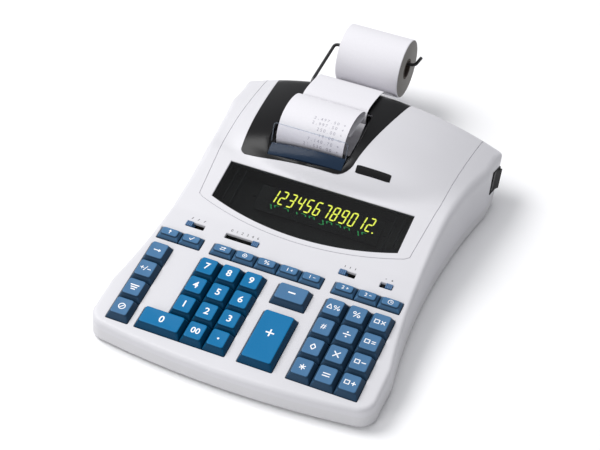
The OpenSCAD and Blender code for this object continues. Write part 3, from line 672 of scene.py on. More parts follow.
def line_distance(pt, pts):
    best = 1e9
    px, py = pt
    for (ax, ay), (bx, by) in zip(pts, pts[1:]):
        dx, dy = bx - ax, by - ay
        t = max(0.0, min(1.0, ((px - ax) * dx + (py - ay) * dy) / (dx * dx + dy * dy)))
        best = min(best, (px - ax - t * dx) ** 2 + (py - ay - t * dy) ** 2)
    return math.sqrt(best)


def cover_foot(i):
    return min(COVER_FOOT, EDGE_Z[i] - 3.0)


def faces_back(i):
    return NORMALS[i].y > 0.9


def over_cover(i, x):
    return faces_back(i) and COVER_SPAN[0] < x < COVER_SPAN[1]


EDGE_Z = [edge_height(i) for i in range(COUNT)]


def wall_rings(recessed):
    """Rings up the outside wall and over its rounded top edge; the last one bounds the top."""
    rings = []
    stages = [("wall", k) for k in range(5)] + [("round", math.radians(a)) for a in (18, 36, 54, 72, 90)]
    for kind, value in stages:
        ring = []
        for i in range(COUNT):
            edge = wall_point(i, EDGE_Z[i])
            r = edge_round(edge)
            top = EDGE_Z[i] - r
            if kind == "wall":
                foot = cover_foot(i)
                if faces_back(i):
                    z = (PARTING, foot - 0.15, foot, min(REAR_TOP_Z, (foot + top) / 2 + 2), top)[value]
                    z = min(z, top)
                else:
                    z = PARTING + (top - PARTING) * (0, 0.4, 0.5, 0.8, 1)[value]
                p, drawn = wall_point(i, z), 0.0
                sunk = recessed and value >= 2 and over_cover(i, edge.x)
            else:
                lift = r * (1 - math.sin(value))
                p, drawn = wall_point(i, EDGE_Z[i] - lift), r * (1 - math.cos(value))
                sunk = recessed and over_cover(i, edge.x)
            q = p - NORMALS[i] * (drawn + (RECESS if sunk else 0.0))
            if kind == "round":
                z = case_height(p.x - NORMALS[i].x * drawn, p.y - NORMALS[i].y * drawn) - lift
                z -= RECESS * math.sin(value) if sunk else 0.0
            ring.append((q.x, q.y, z))
        rings.append(ring)
    return rings


def top_mesh(rim, holes, creases):
    """Triangles of the top in plan: rim loop, hole loops, crease lines and a grid where it curves."""
    pts, edges = [], []

    def put(line, closed):
        base = len(pts)
        pts.extend((p[0], p[1]) for p in line)
        n = len(line)
        edges.extend((base + k, base + (k + 1) % n) for k in range(n if closed else n - 1))

    put(rim, True)
    guard = [(p[0] - NORMALS[i].x * 0.9, p[1] - NORMALS[i].y * 0.9) for i, p in enumerate(rim)]
    guard = [p for i, p in enumerate(guard) if i % 2 == 0]
    put(guard, True)
    for loop in holes:
        put(loop, True)
    for line in creases:
        put([p for p in line if inside(p, guard)], False)
    rows = []
    for start, step, count in GRID_ROWS:
        rows += [start + step * k for k in range(count)]
    near = {}
    for line in creases + holes:
        for p in line:
            near.setdefault((round(p[0] / NEAR), round(p[1] / NEAR)), []).append(p)

    def clear(x, y):
        """Whether a grid point stands off the lines."""
        cx, cy = round(x / NEAR), round(y / NEAR)
        around = [p for i in (-1, 0, 1) for j in (-1, 0, 1) for p in near.get((cx + i, cy + j), ())]
        return all((p[0] - x) ** 2 + (p[1] - y) ** 2 >= GRID_CLEARANCE for p in around)

    for y in rows:
        for k in range(-24, 25):
            x = GRID_PITCH * k
            if inside((x, y), guard) and clear(x, y) and not any(inside((x, y), h) for h in holes):
                pts.append((x, y))
    out = delaunay_2d_cdt([Vector(p) for p in pts], edges, [], 0, 1e-6)
    verts, faces, origin = out[0], out[2], out[3]
    where = {}
    for new, olds in enumerate(origin):
        for old in olds:
            where[old] = new
    keep = []
    for f in faces:
        c = sum((Vector(verts[v]) for v in f), Vector((0, 0))) / len(f)
        if inside(c, rim) and not any(inside(c, h) for h in holes):
            keep.append(tuple(f))
    starts, at = [], len(rim) + len(guard)
    for loop in holes:
        starts.append(at)
        at += len(loop)
    return [Vector(v) for v in verts], keep, where, starts


def add_rings(skin, rings):
    """Puts all rings but the last into the skin, and returns their vertex numbers."""
    loops = []
    for ring in rings[:-1]:
        loops.append(range(len(skin.verts), len(skin.verts) + COUNT))
        skin.verts.extend(ring)
    return loops


def make_case():
    """Outer skin of the upper half, with its seam groove and the edges of every opening."""
    seam = seam_lines()
    seam_sides = [offset_line(seam, d) for d in (-SEAM_HALF, -0.1, 0.1, SEAM_HALF)]
    sunk = cover_loop(0.05)
    rings = wall_rings(True)
    rim = rings[-1]
    creases = seam_sides + [cover_loop(), cover_loop(0.06)]
    verts, faces, where, starts = top_mesh(rim, well_loops(EDGE_SOFT), creases)

    def height(v):
        z = case_height(v.x, v.y)
        if v.y > 130 and (abs(v.x) > 84 or v.y < 152) and line_distance(v, seam) < SEAM_HALF - 0.06:
            z -= SEAM_DEPTH
        if v.y > 196.3 and inside(v, sunk):
            z -= RECESS
        return z

    skin = Sketch()
    walls = add_rings(skin, rings)
    cap = len(skin.verts)
    skin.verts.extend((v.x, v.y, height(v)) for v in verts)
    floor = len(skin.verts)
    skin.verts.extend((v.x, v.y, case_height(v.x, v.y) - WALL) for v in verts)
    for i, (x, y, z) in enumerate(rim):
        skin.verts[cap + where[i]] = (x, y, z)
        skin.verts[floor + where[i]] = (x, y, z - WALL)
    for f in faces:
        skin.faces.append(tuple(cap + v for v in f))
        skin.faces.append(tuple(floor + v for v in reversed(f)))
    inner = len(skin.verts)
    below_edge = [EDGE_Z[i] - max(edge_round(wall_point(i, EDGE_Z[i])), WALL) - 1.5 for i in range(COUNT)]
    for heights in (below_edge, [PARTING] * COUNT):
        for i, z in enumerate(heights):
            p = wall_point(i, z) - NORMALS[i] * WALL
            skin.verts.append((p.x, p.y, z))
    around = walls + [[cap + where[i] for i in range(COUNT)]]
    inside_walls = [[floor + where[i] for i in range(COUNT)], range(inner, inner + COUNT),
                    range(inner + COUNT, inner + 2 * COUNT), walls[0]]
    for loops in (around, inside_walls):
        for low, high in zip(loops, loops[1:]):
            skin.join(low, high)
    for loop, start in zip(well_loops(0.0), starts):
        edge = [where[start + i] for i in range(len(loop))]
        levels = [[cap + v for v in edge]]
        for drop in (EDGE_SOFT, WALL - 0.2):
            levels.append(range(len(skin.verts), len(skin.verts) + len(loop)))
            skin.verts.extend((x, y, height_at_hole(x, y) - drop) for x, y in loop)
        levels.append([floor + v for v in edge])
        for low, high in zip(levels, levels[1:]):
            skin.join(low, high)
    shell = skin.build("top_shell_skin", LAYOUT, CASE, smooth=CASE_CREASE)
    cut_rocker_opening(shell)
    soften(shell, CASE_CREASE)
    attach(shell, "root", ("top_shell",))


def height_at_hole(x, y):
    z = case_height(x, y)
    return z - RECESS if y > 198 else z


def well_loops(grow):
    """Plan loops of every opening in the top of the case."""
    g, r, c = grow, WELL_CORNER, math.cos(SLOPE)
    px, py = KEY_PITCH
    rows = [FIRST_ROW + k * py for k in range(4)]
    low, high = rows[0] - py / 2 - WELL_GAP, rows[3] + py / 2 + WELL_GAP

    def box(x, u, dx, du, r=WELL_CORNER):
        return deck_loop(x - dx / 2 - g, x + dx / 2 + g, u - du / 2 - g, u + du / 2 + g, r + g)

    def corner(cx, cu, start):
        turn = [math.radians(start + 90 * k / 3) for k in range(4)]
        return [(cx + (r + g) * math.cos(a), (cu + (r + g) * math.sin(a)) * c) for a in turn]

    left, right = NUMBERS_X - 1.5 * px - WELL_GAP, NUMBERS_X + 1.5 * px + WELL_GAP
    zero_left, zero_top = NUMBERS_X - 2.5 * px - WELL_GAP, rows[0] + py / 2 + WELL_GAP
    numbers = corner(zero_left + r, low + r, 180) + corner(right - r, low + r, 270)
    numbers += corner(right - r, high - r, 0) + corner(left + r, high - r, 90)
    numbers += [(left - g, (zero_top + g) * c)] + corner(zero_left + r, zero_top - r, 90)
    middle, depth, gap = (rows[1] + rows[2]) / 2, 4 * py + 2 * WELL_GAP, 2 * WELL_GAP
    loops = [
        box(-91.4, middle, px + gap, depth), numbers, box(72.5, middle, 3 * px + gap, depth),
        box(20.3, rows[3], 27.6 + 0.8, py - 0.5 + 0.8), box(20.3, FIRST_ROW + (49.4 - 19) / 2, 28.4, 50.2),
        box(-91.4 + px / 2, FUNCTION_ROW, 2 * px + gap, FUNCTION_DEPTH),
        box(-9.5, FUNCTION_ROW, 5 * px + gap, FUNCTION_DEPTH),
        box(72.5, FUNCTION_ROW, 3 * px + gap, FUNCTION_DEPTH),
    ]
    for x, dx in ((-77.3, 15.4), (-37.6, 28), (50, 13.2), (81.5, 10)):
        loops.append(box(x, SLIDE_ROW, dx, SLIDE_SLOT, 0.5))
    loops.append(display_loop(g))
    out = 0.8 + g
    loops.append(rounded_loop(WELL[0] - out, WELL[1] + out, WELL[2] - out, WELL[3] + out, 1.0 + g))
    return loops


ROCKER_PLACE = Matrix.Translation((115.295, 281.5, 26)) @ Matrix.Rotation(math.radians(-20), 4, "X")


def cut_rocker_opening(shell):
    """Cuts the opening of the power rocker in the side wall."""
    opening = Sketch()
    opening.prism([(-8, -10.2), (8, -10.2), (8, 10.2), (-8, 10.2)], -9.2, 9.2)
    cutter = opening.build("cutter_rocker", LAYOUT @ ROCKER_PLACE, CASE)
    mod = shell.modifiers.new("cut", "BOOLEAN")
    mod.operation, mod.object, mod.solver = "DIFFERENCE", cutter, "EXACT"
    mesh = evaluated_mesh(shell)
    shell.modifiers.clear()
    old, shell.data = shell.data, mesh
    bpy.data.meshes.remove(old)
    bpy.data.objects.remove(cutter)


def make_cover():
    """Gloss black cover let into the top, running down over the rear edge."""
    rings = wall_rings(False)
    rim = rings[-1]
    edge = cover_loop(0.3)
    hole = rounded_loop(*WELL, 1.0)
    verts, faces, where, _ = top_mesh(rim, [hole], [edge])
    skin = Sketch()
    walls = add_rings(skin, rings)
    cap = len(skin.verts)
    skin.verts.extend((v.x, v.y, case_height(v.x, v.y)) for v in verts)
    for i, p in enumerate(rim):
        skin.verts[cap + where[i]] = p
    walls.append([cap + where[i] for i in range(COUNT)])
    for low, high in zip(walls[2:], walls[3:]):
        for i in range(COUNT):
            j = (i + 1) % COUNT
            middle = (rim[i][0] + rim[j][0]) / 2
            if faces_back(i) and faces_back(j) and COVER_SPAN[0] + 0.1 < middle < COVER_SPAN[1] - 0.1:
                skin.faces.append((low[i], low[j], high[j], high[i]))
    for f in faces:
        c = sum((verts[v] for v in f), Vector((0, 0))) / len(f)
        if inside(c, edge):
            skin.faces.append(tuple(cap + v for v in f))
    mesh = bpy.data.meshes.new("printer_cover_skin")
    mesh.from_pydata([LAYOUT @ Vector(v) for v in skin.verts], [], skin.faces)
    bm = bmesh.new()
    bm.from_mesh(mesh)
    bmesh.ops.delete(bm, geom=[v for v in bm.verts if not v.link_faces], context="VERTS")
    bmesh.ops.recalc_face_normals(bm, faces=bm.faces)
    if sum(f.normal.z for f in bm.faces) < 0:
        bmesh.ops.reverse_faces(bm, faces=bm.faces)
    bmesh.ops.solidify(bm, geom=bm.faces, thickness=0.7 * MM)
    bm.to_mesh(mesh)
    bm.free()
    obj = in_scene("printer_cover_skin", mesh)
    mesh.materials.append(BLACK)
    soften(obj, CASE_CREASE)
    attach(obj, "root", ("printer_cover",))


# ---------------------------------------------------------------- camera, light, floor

def make_camera():
    """Standing in front of the right corner, looking down at the keys."""
    data = bpy.data.cameras.new("camera")
    cam = in_scene("camera", data)
    azimuth, elevation, roll = math.radians(21.405), math.radians(41.9), math.radians(2.6)
    place = LAYOUT @ Vector((330.1, -697.9, 855.8))
    ahead = Vector((-math.sin(azimuth) * math.cos(elevation), math.cos(azimuth) * math.cos(elevation),
                    -math.sin(elevation)))
    right = Vector((math.cos(azimuth), math.sin(azimuth), 0))
    up = right.cross(ahead)
    tilted_right = math.cos(roll) * right + math.sin(roll) * up
    tilted_up = math.cos(roll) * up - math.sin(roll) * right
    turn = Matrix((tilted_right, tilted_up, -ahead)).transposed()
    cam.matrix_world = Matrix.Translation(place) @ turn.to_4x4()
    data.sensor_width = 36
    data.lens = 94.6
    data.clip_start, data.clip_end = 0.05, 20
    bpy.context.scene.camera = cam


LIGHT_TARGET = Vector((0, 0, 0.02))


def area_light(name, place, size, power):
    data = bpy.data.lights.new(name, "AREA")
    data.shape = "DISK"
    data.size = size
    data.energy = power
    lamp = in_scene(name, data)
    lamp.location = place
    lamp.rotation_mode = "QUATERNION"
    lamp.rotation_quaternion = (LIGHT_TARGET - Vector(place)).to_track_quat("-Z", "Y")


def make_studio():
    world = bpy.data.worlds.new("studio")
    bpy.context.scene.world = world
    world.use_nodes = True
    background = world.node_tree.nodes["Background"]
    plug(world.node_tree, background, {"Color": (0.95, 0.96, 1.0, 1), "Strength": 0.47})
    area_light("key_light", (-1.0, 0.0, 1.4), 1.0, 23)
    area_light("top_light", (-0.1, 0.55, 1.7), 1.0, 5)
    area_light("front_light", (-0.5, -1.5, 0.7), 0.9, 6)
    floor = Sketch()
    reach = 9000
    floor.prism([(-reach, -reach), (reach, -reach), (reach, reach), (-reach, reach)], -4, -0.05)
    white = moulded("floor_white", (0.93, 0.93, 0.935), 0.8, grain=0.0, drift=0.005)
    floor.build("floor", LAYOUT, white)
    bpy.context.scene.view_settings.view_transform = "Standard"


# ---------------------------------------------------------------- keys

DISH = 0.4
DISH_POWER = 2.4
CAP_EDGE = 0.9
CAP_CORNER = 1.8


def cap_shape(width, depth, rise):
    """Rings of a key cap from its skirt to the rim of its top, and the rim's own size."""
    half_w, half_d = width / 2, depth / 2
    front_in, back_in, side_in = CAP_TAPER + 0.6, CAP_TAPER - 0.9, CAP_TAPER

    def ring(share, z, corner, extra=0.0):
        return rounded_box(-half_w + side_in * share + extra, half_w - side_in * share - extra,
                           -half_d + front_in * share + extra, half_d - back_in * share - extra, corner, z)

    rings = [ring(0, -SKIRT, 1.0), ring(0, 0.1, 1.0)]
    steps = 5
    for k in range(1, steps + 1):
        t = k / steps
        rings.append(ring(t ** 1.15, 0.1 + (rise - CAP_EDGE - 0.1) * t, 1.0 + 0.8 * t))
    for k in range(1, steps + 1):
        a = math.radians(90 * k / steps)
        z = rise - CAP_EDGE + CAP_EDGE * math.sin(a)
        rings.append(ring(1, z, CAP_CORNER, CAP_EDGE * (1 - math.cos(a))))
    x0, x1 = -half_w + side_in + CAP_EDGE, half_w - side_in - CAP_EDGE
    y0, y1 = -half_d + front_in + CAP_EDGE, half_d - back_in - CAP_EDGE
    return rings, (x0, x1, y0, y1)


def dish_at(x, y, rim, rise):
    """Height of the hollow top of a key."""
    x0, x1, y0, y1 = rim
    u = (x - (x0 + x1) / 2) / ((x1 - x0) / 2)
    v = (y - (y0 + y1) / 2) / ((y1 - y0) / 2)
    across, along = (max(0.0, 1 - min(1.0, abs(w)) ** DISH_POWER) for w in (u, v))
    return rise - DISH * across * along


def make_cap(node, material):
    seat, width, depth, rise = deck_seat(node)
    rings, rim = cap_shape(width, depth, rise)
    cx, cy = (rim[0] + rim[1]) / 2, (rim[2] + rim[3]) / 2
    top = rings[-1]
    for share in (0.92, 0.8, 0.64, 0.46, 0.26, 0.1):
        ring = [(cx + (x - cx) * share, cy + (y - cy) * share) for x, y, _ in top]
        rings.append([(x, y, dish_at(x, y, rim, rise)) for x, y in ring])
    cap = Sketch()
    cap.loft(rings)
    piece = cap.build(node + "_cap", seat, material, smooth=50)
    attach(piece, node, (node,))
    return seat, rim, rise, (cx, cy)


def make_legend(node, draw, seat, rim, rise, centre):
    glyph = Sketch()
    draw(glyph)

    def lift(v):
        x, y = v.x + centre[0], v.y + centre[1]
        return Vector((x, y, v.z + dish_at(x, y, rim, rise)))

    attach(glyph.build(node + "_legend", seat, LEGEND, warp=lift), node)


def digit(body, size=8.3, at=(0, 0.2), bold=0.13):
    return lambda g: g.text(body, size, at, bold)


def minus_bar(g, x=0.0, y=0.0, reach=2.9, width=1.0):
    g.stroke((x - reach, y), (x + reach, y), width)


def plus_sign(g, x=0.0, y=0.0, reach=2.9, width=1.0):
    minus_bar(g, x, y, reach, width)
    g.stroke((x, y - reach), (x, y - width / 2), width)
    g.stroke((x, y + width / 2), (x, y + reach), width)


def times_sign(g, x=0.0, y=0.0, reach=2.4, width=0.9):
    g.stroke((x - reach, y - reach), (x + reach, y + reach), width)
    half = width * 0.5
    g.stroke((x - reach, y + reach), (x - half, y + half), width)
    g.stroke((x + half, y - half), (x + reach, y - reach), width)


def divide_sign(g):
    minus_bar(g, reach=3.0, width=0.85)
    g.disc((0, 2.1), 0.72)
    g.disc((0, -2.1), 0.72)


def equals_sign(g):
    minus_bar(g, y=1.1, reach=2.9, width=0.85)
    minus_bar(g, y=-1.1, reach=2.9, width=0.85)


def percent_sign(g, x=0.0, size=1.0):
    g.stroke((x - 1.8 * size, -2.5 * size), (x + 1.8 * size, 2.5 * size), 0.7 * size)
    for side in (-1, 1):
        g.ring((x + side * 1.9 * size, -side * 1.3 * size), 0.95 * size, 0.62 * size)


def arrow(g, turn=0.0, reach=2.9, head=1.6, width=0.85):
    """Arrow that points along +X when turn is 0."""
    c, s = math.cos(turn), math.sin(turn)
    spin = lambda x, y: (x * c - y * s, x * s + y * c)
    g.stroke(spin(-reach, 0), spin(reach - head, 0), width)
    half, neck = head * 0.9, reach - head
    g.prism([spin(neck, -half), spin(reach + 0.3, 0), spin(neck, half)])


def memory_box(g, x=-2.4):
    """Small open box that marks the memory keys."""
    for a, b in (((-1.7, -1.9), (-1.7, 1.9)), ((1.7, -1.9), (1.7, 1.9)), ((-1.3, 1.55), (1.3, 1.55)),
                 ((-1.3, -1.55), (1.3, -1.55))):
        g.stroke((x + a[0], a[1]), (x + b[0], b[1]), 0.7)


def with_box(mark):
    def draw(g):
        memory_box(g)
        mark(g)
    return draw


def diamond(g):
    g.figure([(0, -2.6), (2.0, 0), (0, 2.6), (-2.0, 0)], 0.8)


def star(g):
    for k in range(3):
        a = math.radians(90 + 60 * k)
        d = (2.5 * math.cos(a), 2.5 * math.sin(a))
        g.stroke((-d[0], -d[1]), d, 0.75)


def triangle(g, x=-2.9):
    g.figure([(x - 1.9, -1.9), (x + 1.9, -1.9), (x, 2.1)], 0.65)


def delta_percent(g):
    triangle(g)
    percent_sign(g, 2.6, 0.85)


def sign_change(g):
    plus_sign(g, -3.0, 0.3, 1.5, 0.6)
    g.stroke((-1.1, -2.2), (0.9, 2.4), 0.6)
    minus_bar(g, 3.0, -0.3, 1.5, 0.6)


def three_bars(g):
    for k, reach in enumerate((3.6, 2.7, 1.8)):
        minus_bar(g, 0, 1.9 - 1.9 * k, reach, 0.95)


def crossed_ring(g):
    g.ring((0, 0), 2.5, 0.7)
    g.stroke((-1.3, -1.3), (1.3, 1.3), 0.7)


def tick(g):
    g.stroke((-1.6, 0.1), (-0.4, -1.3), 0.6)
    g.stroke((-0.4, -1.3), (1.9, 1.6), 0.6)


def swap(g):
    for side in (-1, 1):
        y = side * 0.95
        g.stroke((-2.0 * side, y), (0.9 * side, y), 0.55)
        g.prism([(0.9 * side, y - 0.8), (2.5 * side, y), (0.9 * side, y + 0.8)])


def ring_dot(g):
    g.ring((0, 0), 1.6, 0.5)
    g.disc((0, 0), 0.55)


def small(body, mark):
    def draw(g):
        g.text(body, 4.3, (-1.2, 0), 0.04)
        if mark == "+":
            plus_sign(g, 2.2, 0, 1.0, 0.42)
        if mark == "-":
            minus_bar(g, 2.2, 0, 1.0, 0.42)
    return draw


def clock(g):
    g.ring((0, 0), 1.9, 0.42)
    g.stroke((0, 0), (0, 1.3), 0.4)
    g.stroke((0, 0), (1.0, 0), 0.4)


def dot(g):
    g.disc((0, 0), 0.85)


def equals_small(g):
    minus_bar(g, 2.6, 0.8, 1.6, 0.65)
    minus_bar(g, 2.6, -0.8, 1.6, 0.65)


LEGENDS = {
    **{"key_%d" % n: digit(str(n)) for n in range(10)},
    "key_00": digit("00", 7.2),
    "key_point": dot,
    "key_plus": lambda g: plus_sign(g, 0, 3.5, 3.3, 1.15),
    "key_minus": lambda g: minus_bar(g, 0, 0.6, 2.9, 1.2),
    "key_clear": crossed_ring,
    "key_margin": three_bars,
    "key_sign": sign_change,
    "key_shift": arrow,
    "key_feed": lambda g: arrow(g, math.pi / 2, 1.7, 1.3, 0.6),
    "key_tick": tick,
    "key_exchange": swap,
    "key_local": ring_dot,
    "key_rate": lambda g: percent_sign(g, 0, 0.72),
    "key_tax1_plus": small("1", "+"),
    "key_tax1_minus": small("1", "-"),
    "key_tax2_plus": small("2", "+"),
    "key_tax2_minus": small("2", "-"),
    "key_time": clock,
    "key_delta": delta_percent,
    "key_percent": percent_sign,
    "key_memory_clear": with_box(lambda g: times_sign(g, 2.6, 0, 1.5, 0.7)),
    "key_date": digit("#", 6.6, (0, 0.2), 0.02),
    "key_divide": divide_sign,
    "key_memory_recall": with_box(equals_small),
    "key_subtotal": diamond,
    "key_multiply": times_sign,
    "key_memory_minus": with_box(lambda g: minus_bar(g, 2.6, 0, 1.7, 0.8)),
    "key_total": star,
    "key_equals": equals_sign,
    "key_memory_plus": with_box(lambda g: plus_sign(g, 2.6, 0, 1.7, 0.8)),
}


def make_keys():
    slots = {s["node"]: s["material_slot"] for s in frame["record"]["subparts"]}
    for node, draw in LEGENDS.items():
        slot_name = slots[node]
        material = BRIGHT if slot_name == "key_bright" else SLATE
        seat, rim, rise, centre = make_cap(node, material)
        make_legend(node, draw, seat, rim, rise, centre)


# ---------------------------------------------------------------- display

TUBE_TILT = math.radians(25)
TUBE_HALF_DEPTH = 11
TUBE_HALF_THICK = 1.6
DIGIT_PITCH = 7.4
DIGIT_WIDTH = 5.1
DIGIT_HEIGHT = 12.4
DIGIT_STROKE = 1.02
DIGIT_RAISE = 4.2
SEGMENT_GAP = 0.16
GLOW_LOW, GLOW_HIGH = 0.05, 0.25
SHOWN = "123456789012"
DIGIT_SLANT = math.tan(math.radians(9))
SEGMENTS = {"1": "bc", "2": "abged", "3": "abgcd", "4": "fgbc", "5": "afgcd", "6": "afgcde", "7": "abc",
            "8": "abcdefg", "9": "abcfgd", "0": "abcdef"}


def segment(g, name, x, y):
    """One bar of a seven-segment digit, with pointed ends."""
    w, h, t = DIGIT_WIDTH - DIGIT_STROKE, DIGIT_HEIGHT / 2 - DIGIT_STROKE / 2, DIGIT_STROKE
    left, right = x - w / 2, x + w / 2
    ends = {"a": ((left, y + h), (right, y + h)), "g": ((left, y), (right, y)),
            "d": ((left, y - h), (right, y - h)),
            "f": ((left, y + h), (left, y)), "b": ((right, y + h), (right, y)),
            "e": ((left, y), (left, y - h)), "c": ((right, y), (right, y - h))}
    a, b = (Vector(p) for p in ends[name])
    along = (b - a).normalized()
    side = Vector((-along.y, along.x)) * t / 2
    taper = along * t / 2
    a, b = a + along * SEGMENT_GAP, b - along * SEGMENT_GAP
    pts = [a, a + taper - side, b - taper - side, b, b - taper + side, a + taper + side]
    g.prism([(p.x + p.y * DIGIT_SLANT, p.y) for p in pts], GLOW_LOW, GLOW_HIGH)


def make_display():
    """Lit digits on the face of the tube, with a painted reflection of them below: a faint glowing copy of their
    lower segments.
    """
    lo, hi = layout_box("display_tube")
    s, c = math.sin(TUBE_TILT), math.cos(TUBE_TILT)
    middle = Vector(((lo.x + hi.x) / 2, hi.y - TUBE_HALF_DEPTH * c - TUBE_HALF_THICK * s,
                     hi.z - TUBE_HALF_DEPTH * s - TUBE_HALF_THICK * c))
    face = LAYOUT @ Matrix.Translation(middle) @ Matrix.Rotation(TUBE_TILT, 4, "X")
    face = face @ Matrix.Translation((0, 0, TUBE_HALF_THICK))
    digits, painted_reflection = Sketch(), Sketch()
    first = 0.6 - DIGIT_PITCH * (len(SHOWN) - 1) / 2
    for k, char in enumerate(SHOWN):
        for name in SEGMENTS[char]:
            segment(digits, name, first + k * DIGIT_PITCH, DIGIT_RAISE)
            if name in "cde" or char in "17":
                segment(painted_reflection, name, first + k * DIGIT_PITCH, 0)
    point = (first + (len(SHOWN) - 0.42) * DIGIT_PITCH, DIGIT_RAISE - DIGIT_HEIGHT / 2 + 0.3)
    digits.disc(point, 0.65, GLOW_LOW, GLOW_HIGH)
    attach(digits.build("display_digits", face, GLOW), "root")

    # The painted reflection: the lower segments squashed and flipped below the digits, glowing faintly, standing
    # in for their reflection in the glass.
    def squash(v):
        return Vector((v.x - 0.6, DIGIT_RAISE - DIGIT_HEIGHT * 0.5 - 3.4 - v.y * 0.34, v.z + 0.1))

    attach(painted_reflection.build("display_painted_reflection", face, PAINTED_REFLECTION_GLOW, warp=squash), "root")
    nodes["display_tube"].material_slots[0].material = TUBE
    nodes["display_window"].material_slots[0].material = WINDOW


# ---------------------------------------------------------------- printer, paper and wire

STRIP_FRONT = [(213.3, 56), (212.4, 62), (213, 67.6), (216, 73.6), (220.6, 78.6), (226.5, 81.6),
               (234, 83), (242, 82.8), (250, 80.9), (256.5, 77.8), (260.5, 74.5), (261.2, 72.2),
               (258.5, 70.9), (252, 71), (244, 71.9), (236, 72.4), (228, 72.3)]
STRIP_BACK = [(263.4, 60), (264.2, 66), (266, 69.8), (269.6, 71.4), (278, 71.2), (290, 69.4), (299, 67.3),
              (305.4, 64.3), (310.4, 60.4)]
PLATEN, PLATEN_R = (221.0, 50.0), 7.0
ROLL, ROLL_R, CORE_R = (364.5, 49.0), 25.7, 7.3
PAPER_X = (-50.5, 6.5)
PAPER_THICK = 0.24


def sheet(sketch, path):
    """Closed strip of paper along a side view path."""
    rings = []
    for i, p in enumerate(path):
        a, b = path[max(i - 1, 0)], path[min(i + 1, len(path) - 1)]
        t = (Vector(b) - Vector(a)).normalized()
        n = Vector((-t.y, t.x)) * PAPER_THICK / 2
        under, over = (p[0] - n.x, p[1] - n.y), (p[0] + n.x, p[1] + n.y)
        rings.append([(PAPER_X[0], *under), (PAPER_X[1], *under), (PAPER_X[1], *over), (PAPER_X[0], *over)])
    sketch.loft(rings)


def strip_path():
    """Side view of the paper from its curled end round the platen to the roll, and its part in front."""
    front = [tuple(p) for p in smooth_path(STRIP_FRONT, 5)]
    wrap_r = PLATEN_R + 0.45
    turns = [math.radians(a) for a in range(180, 289, 6)]
    wrap = [(PLATEN[0] + wrap_r * math.cos(a), PLATEN[1] + wrap_r * math.sin(a)) for a in turns]
    gap = ROLL_R + 0.45
    last = STRIP_BACK[-1]
    reach = math.hypot(last[0] - ROLL[0], last[1] - ROLL[1])
    turn = math.atan2(last[1] - ROLL[1], last[0] - ROLL[0]) + math.acos(gap / reach)
    touch = (ROLL[0] + gap * math.cos(turn), ROLL[1] + gap * math.sin(turn))
    back = [tuple(p) for p in smooth_path(STRIP_BACK + [touch], 5)]
    return list(reversed(front)) + wrap + back, front


TAPE_ROWS = ["2,497.50 +", "2,997.50 +", "250.00 *", "13.00 =", "7,140.70 +", "21,530.00 *"]


def make_strip():
    whole, front = strip_path()
    strip = Sketch()
    sheet(strip, whole)
    attach(strip.build("paper_strip_curled", LAYOUT, PAPER, smooth=60), "root", ("paper_strip",))
    run = [0.0]
    for a, b in zip(front, front[1:]):
        run.append(run[-1] + math.hypot(b[0] - a[0], b[1] - a[1]))

    def wrap(v):
        """Lays a flat mark on the face of the paper."""
        s = max(0.0, min(run[-1] - 0.01, v.y))
        k = max(i for i in range(len(run) - 1) if run[i] <= s)
        t = (s - run[k]) / (run[k + 1] - run[k])
        a, b = Vector(front[k]), Vector(front[k + 1])
        d = (b - a).normalized()
        p = a + (b - a) * t + Vector((-d.y, d.x)) * (PAPER_THICK / 2 + v.z)
        return Vector((v.x, p.x, p.y))

    rows = Sketch()
    for k, row in enumerate(TAPE_ROWS):
        line = 33.5 - 4.6 * k
        for j, char in enumerate(reversed(row)):
            if char != " ":
                y = line - 1.2 if char in ",." else line
                rows.text(char, 3.8, (1.5 - 2.8 * j, y), low=0.0, high=0.04)
    attach(rows.build("paper_strip_print", LAYOUT, INK, warp=wrap), "root")


def round_roll(p, c, s):
    """Point (radius, x) of a profile, turned about the axis of the roll."""
    return (p[1], ROLL[0] + p[0] * c, ROLL[1] + p[0] * s)


def make_roll():
    body = Sketch()
    x0, x1 = PAPER_X
    profile = [(9.2, x0 + 0.2), (ROLL_R - 0.5, x0), (ROLL_R, x0 + 0.4), (ROLL_R, x1 - 0.4),
               (ROLL_R - 0.5, x1), (9.2, x1 - 0.2)]
    body.turned(profile, 96, round_roll)
    roll = body.build("paper_roll_wound", LAYOUT, PAPER, smooth=40)
    # Painted shade: the end faces get a copy of the paper far darker than the paper itself, as the ends face away
    # from the light; the rings are the edges of the turns.
    edge = paper("wound_edge", (0.24, 0.23, 0.215), LAYOUT @ Vector((0, *ROLL)))
    roll.data.materials.append(edge)
    for f in roll.data.polygons:
        if abs(f.normal.x) > 0.9:
            f.material_index = 1
    attach(roll, "roll", ("paper_roll",))
    core = Sketch()
    core.turned([(CORE_R, x0), (9.15, x0), (9.15, x1), (CORE_R, x1)], 64, round_roll)
    attach(core.build("paper_roll_core", LAYOUT, CORE, smooth=40), "roll")


def rounded_route(points, radius, steps=6):
    """Polyline with its corners replaced by arcs."""
    pts = [Vector(p) for p in points]
    out = [pts[0]]
    for a, b, c in zip(pts, pts[1:], pts[2:]):
        d1, d2 = (a - b), (c - b)
        reach = min(radius, d1.length * 0.45, d2.length * 0.45)
        p, q = b + d1.normalized() * reach, b + d2.normalized() * reach
        out.extend(p.lerp(b, k / steps).lerp(b.lerp(q, k / steps), k / steps) for k in range(steps + 1))
    out.append(pts[-1])
    return out


def tube(sketch, route, radius, sides=14):
    """Round bar along a route, with no twist from ring to ring."""
    turn = [2 * math.pi * k / sides for k in range(sides)]
    rings = []
    up = Vector((0, 0, 1))
    for i, p in enumerate(route):
        a, b = route[max(i - 1, 0)], route[min(i + 1, len(route) - 1)]
        t = (b - a).normalized()
        side = t.cross(up)
        side = side.normalized() if side.length > 0.05 else t.cross(Vector((0, 1, 0))).normalized()
        if rings:
            side = (last - t * last.dot(t)).normalized()
        last = side
        top = side.cross(t)
        rings.append([p + (side * math.cos(a) + top * math.sin(a)) * radius for a in turn])
    sketch.loft(rings)


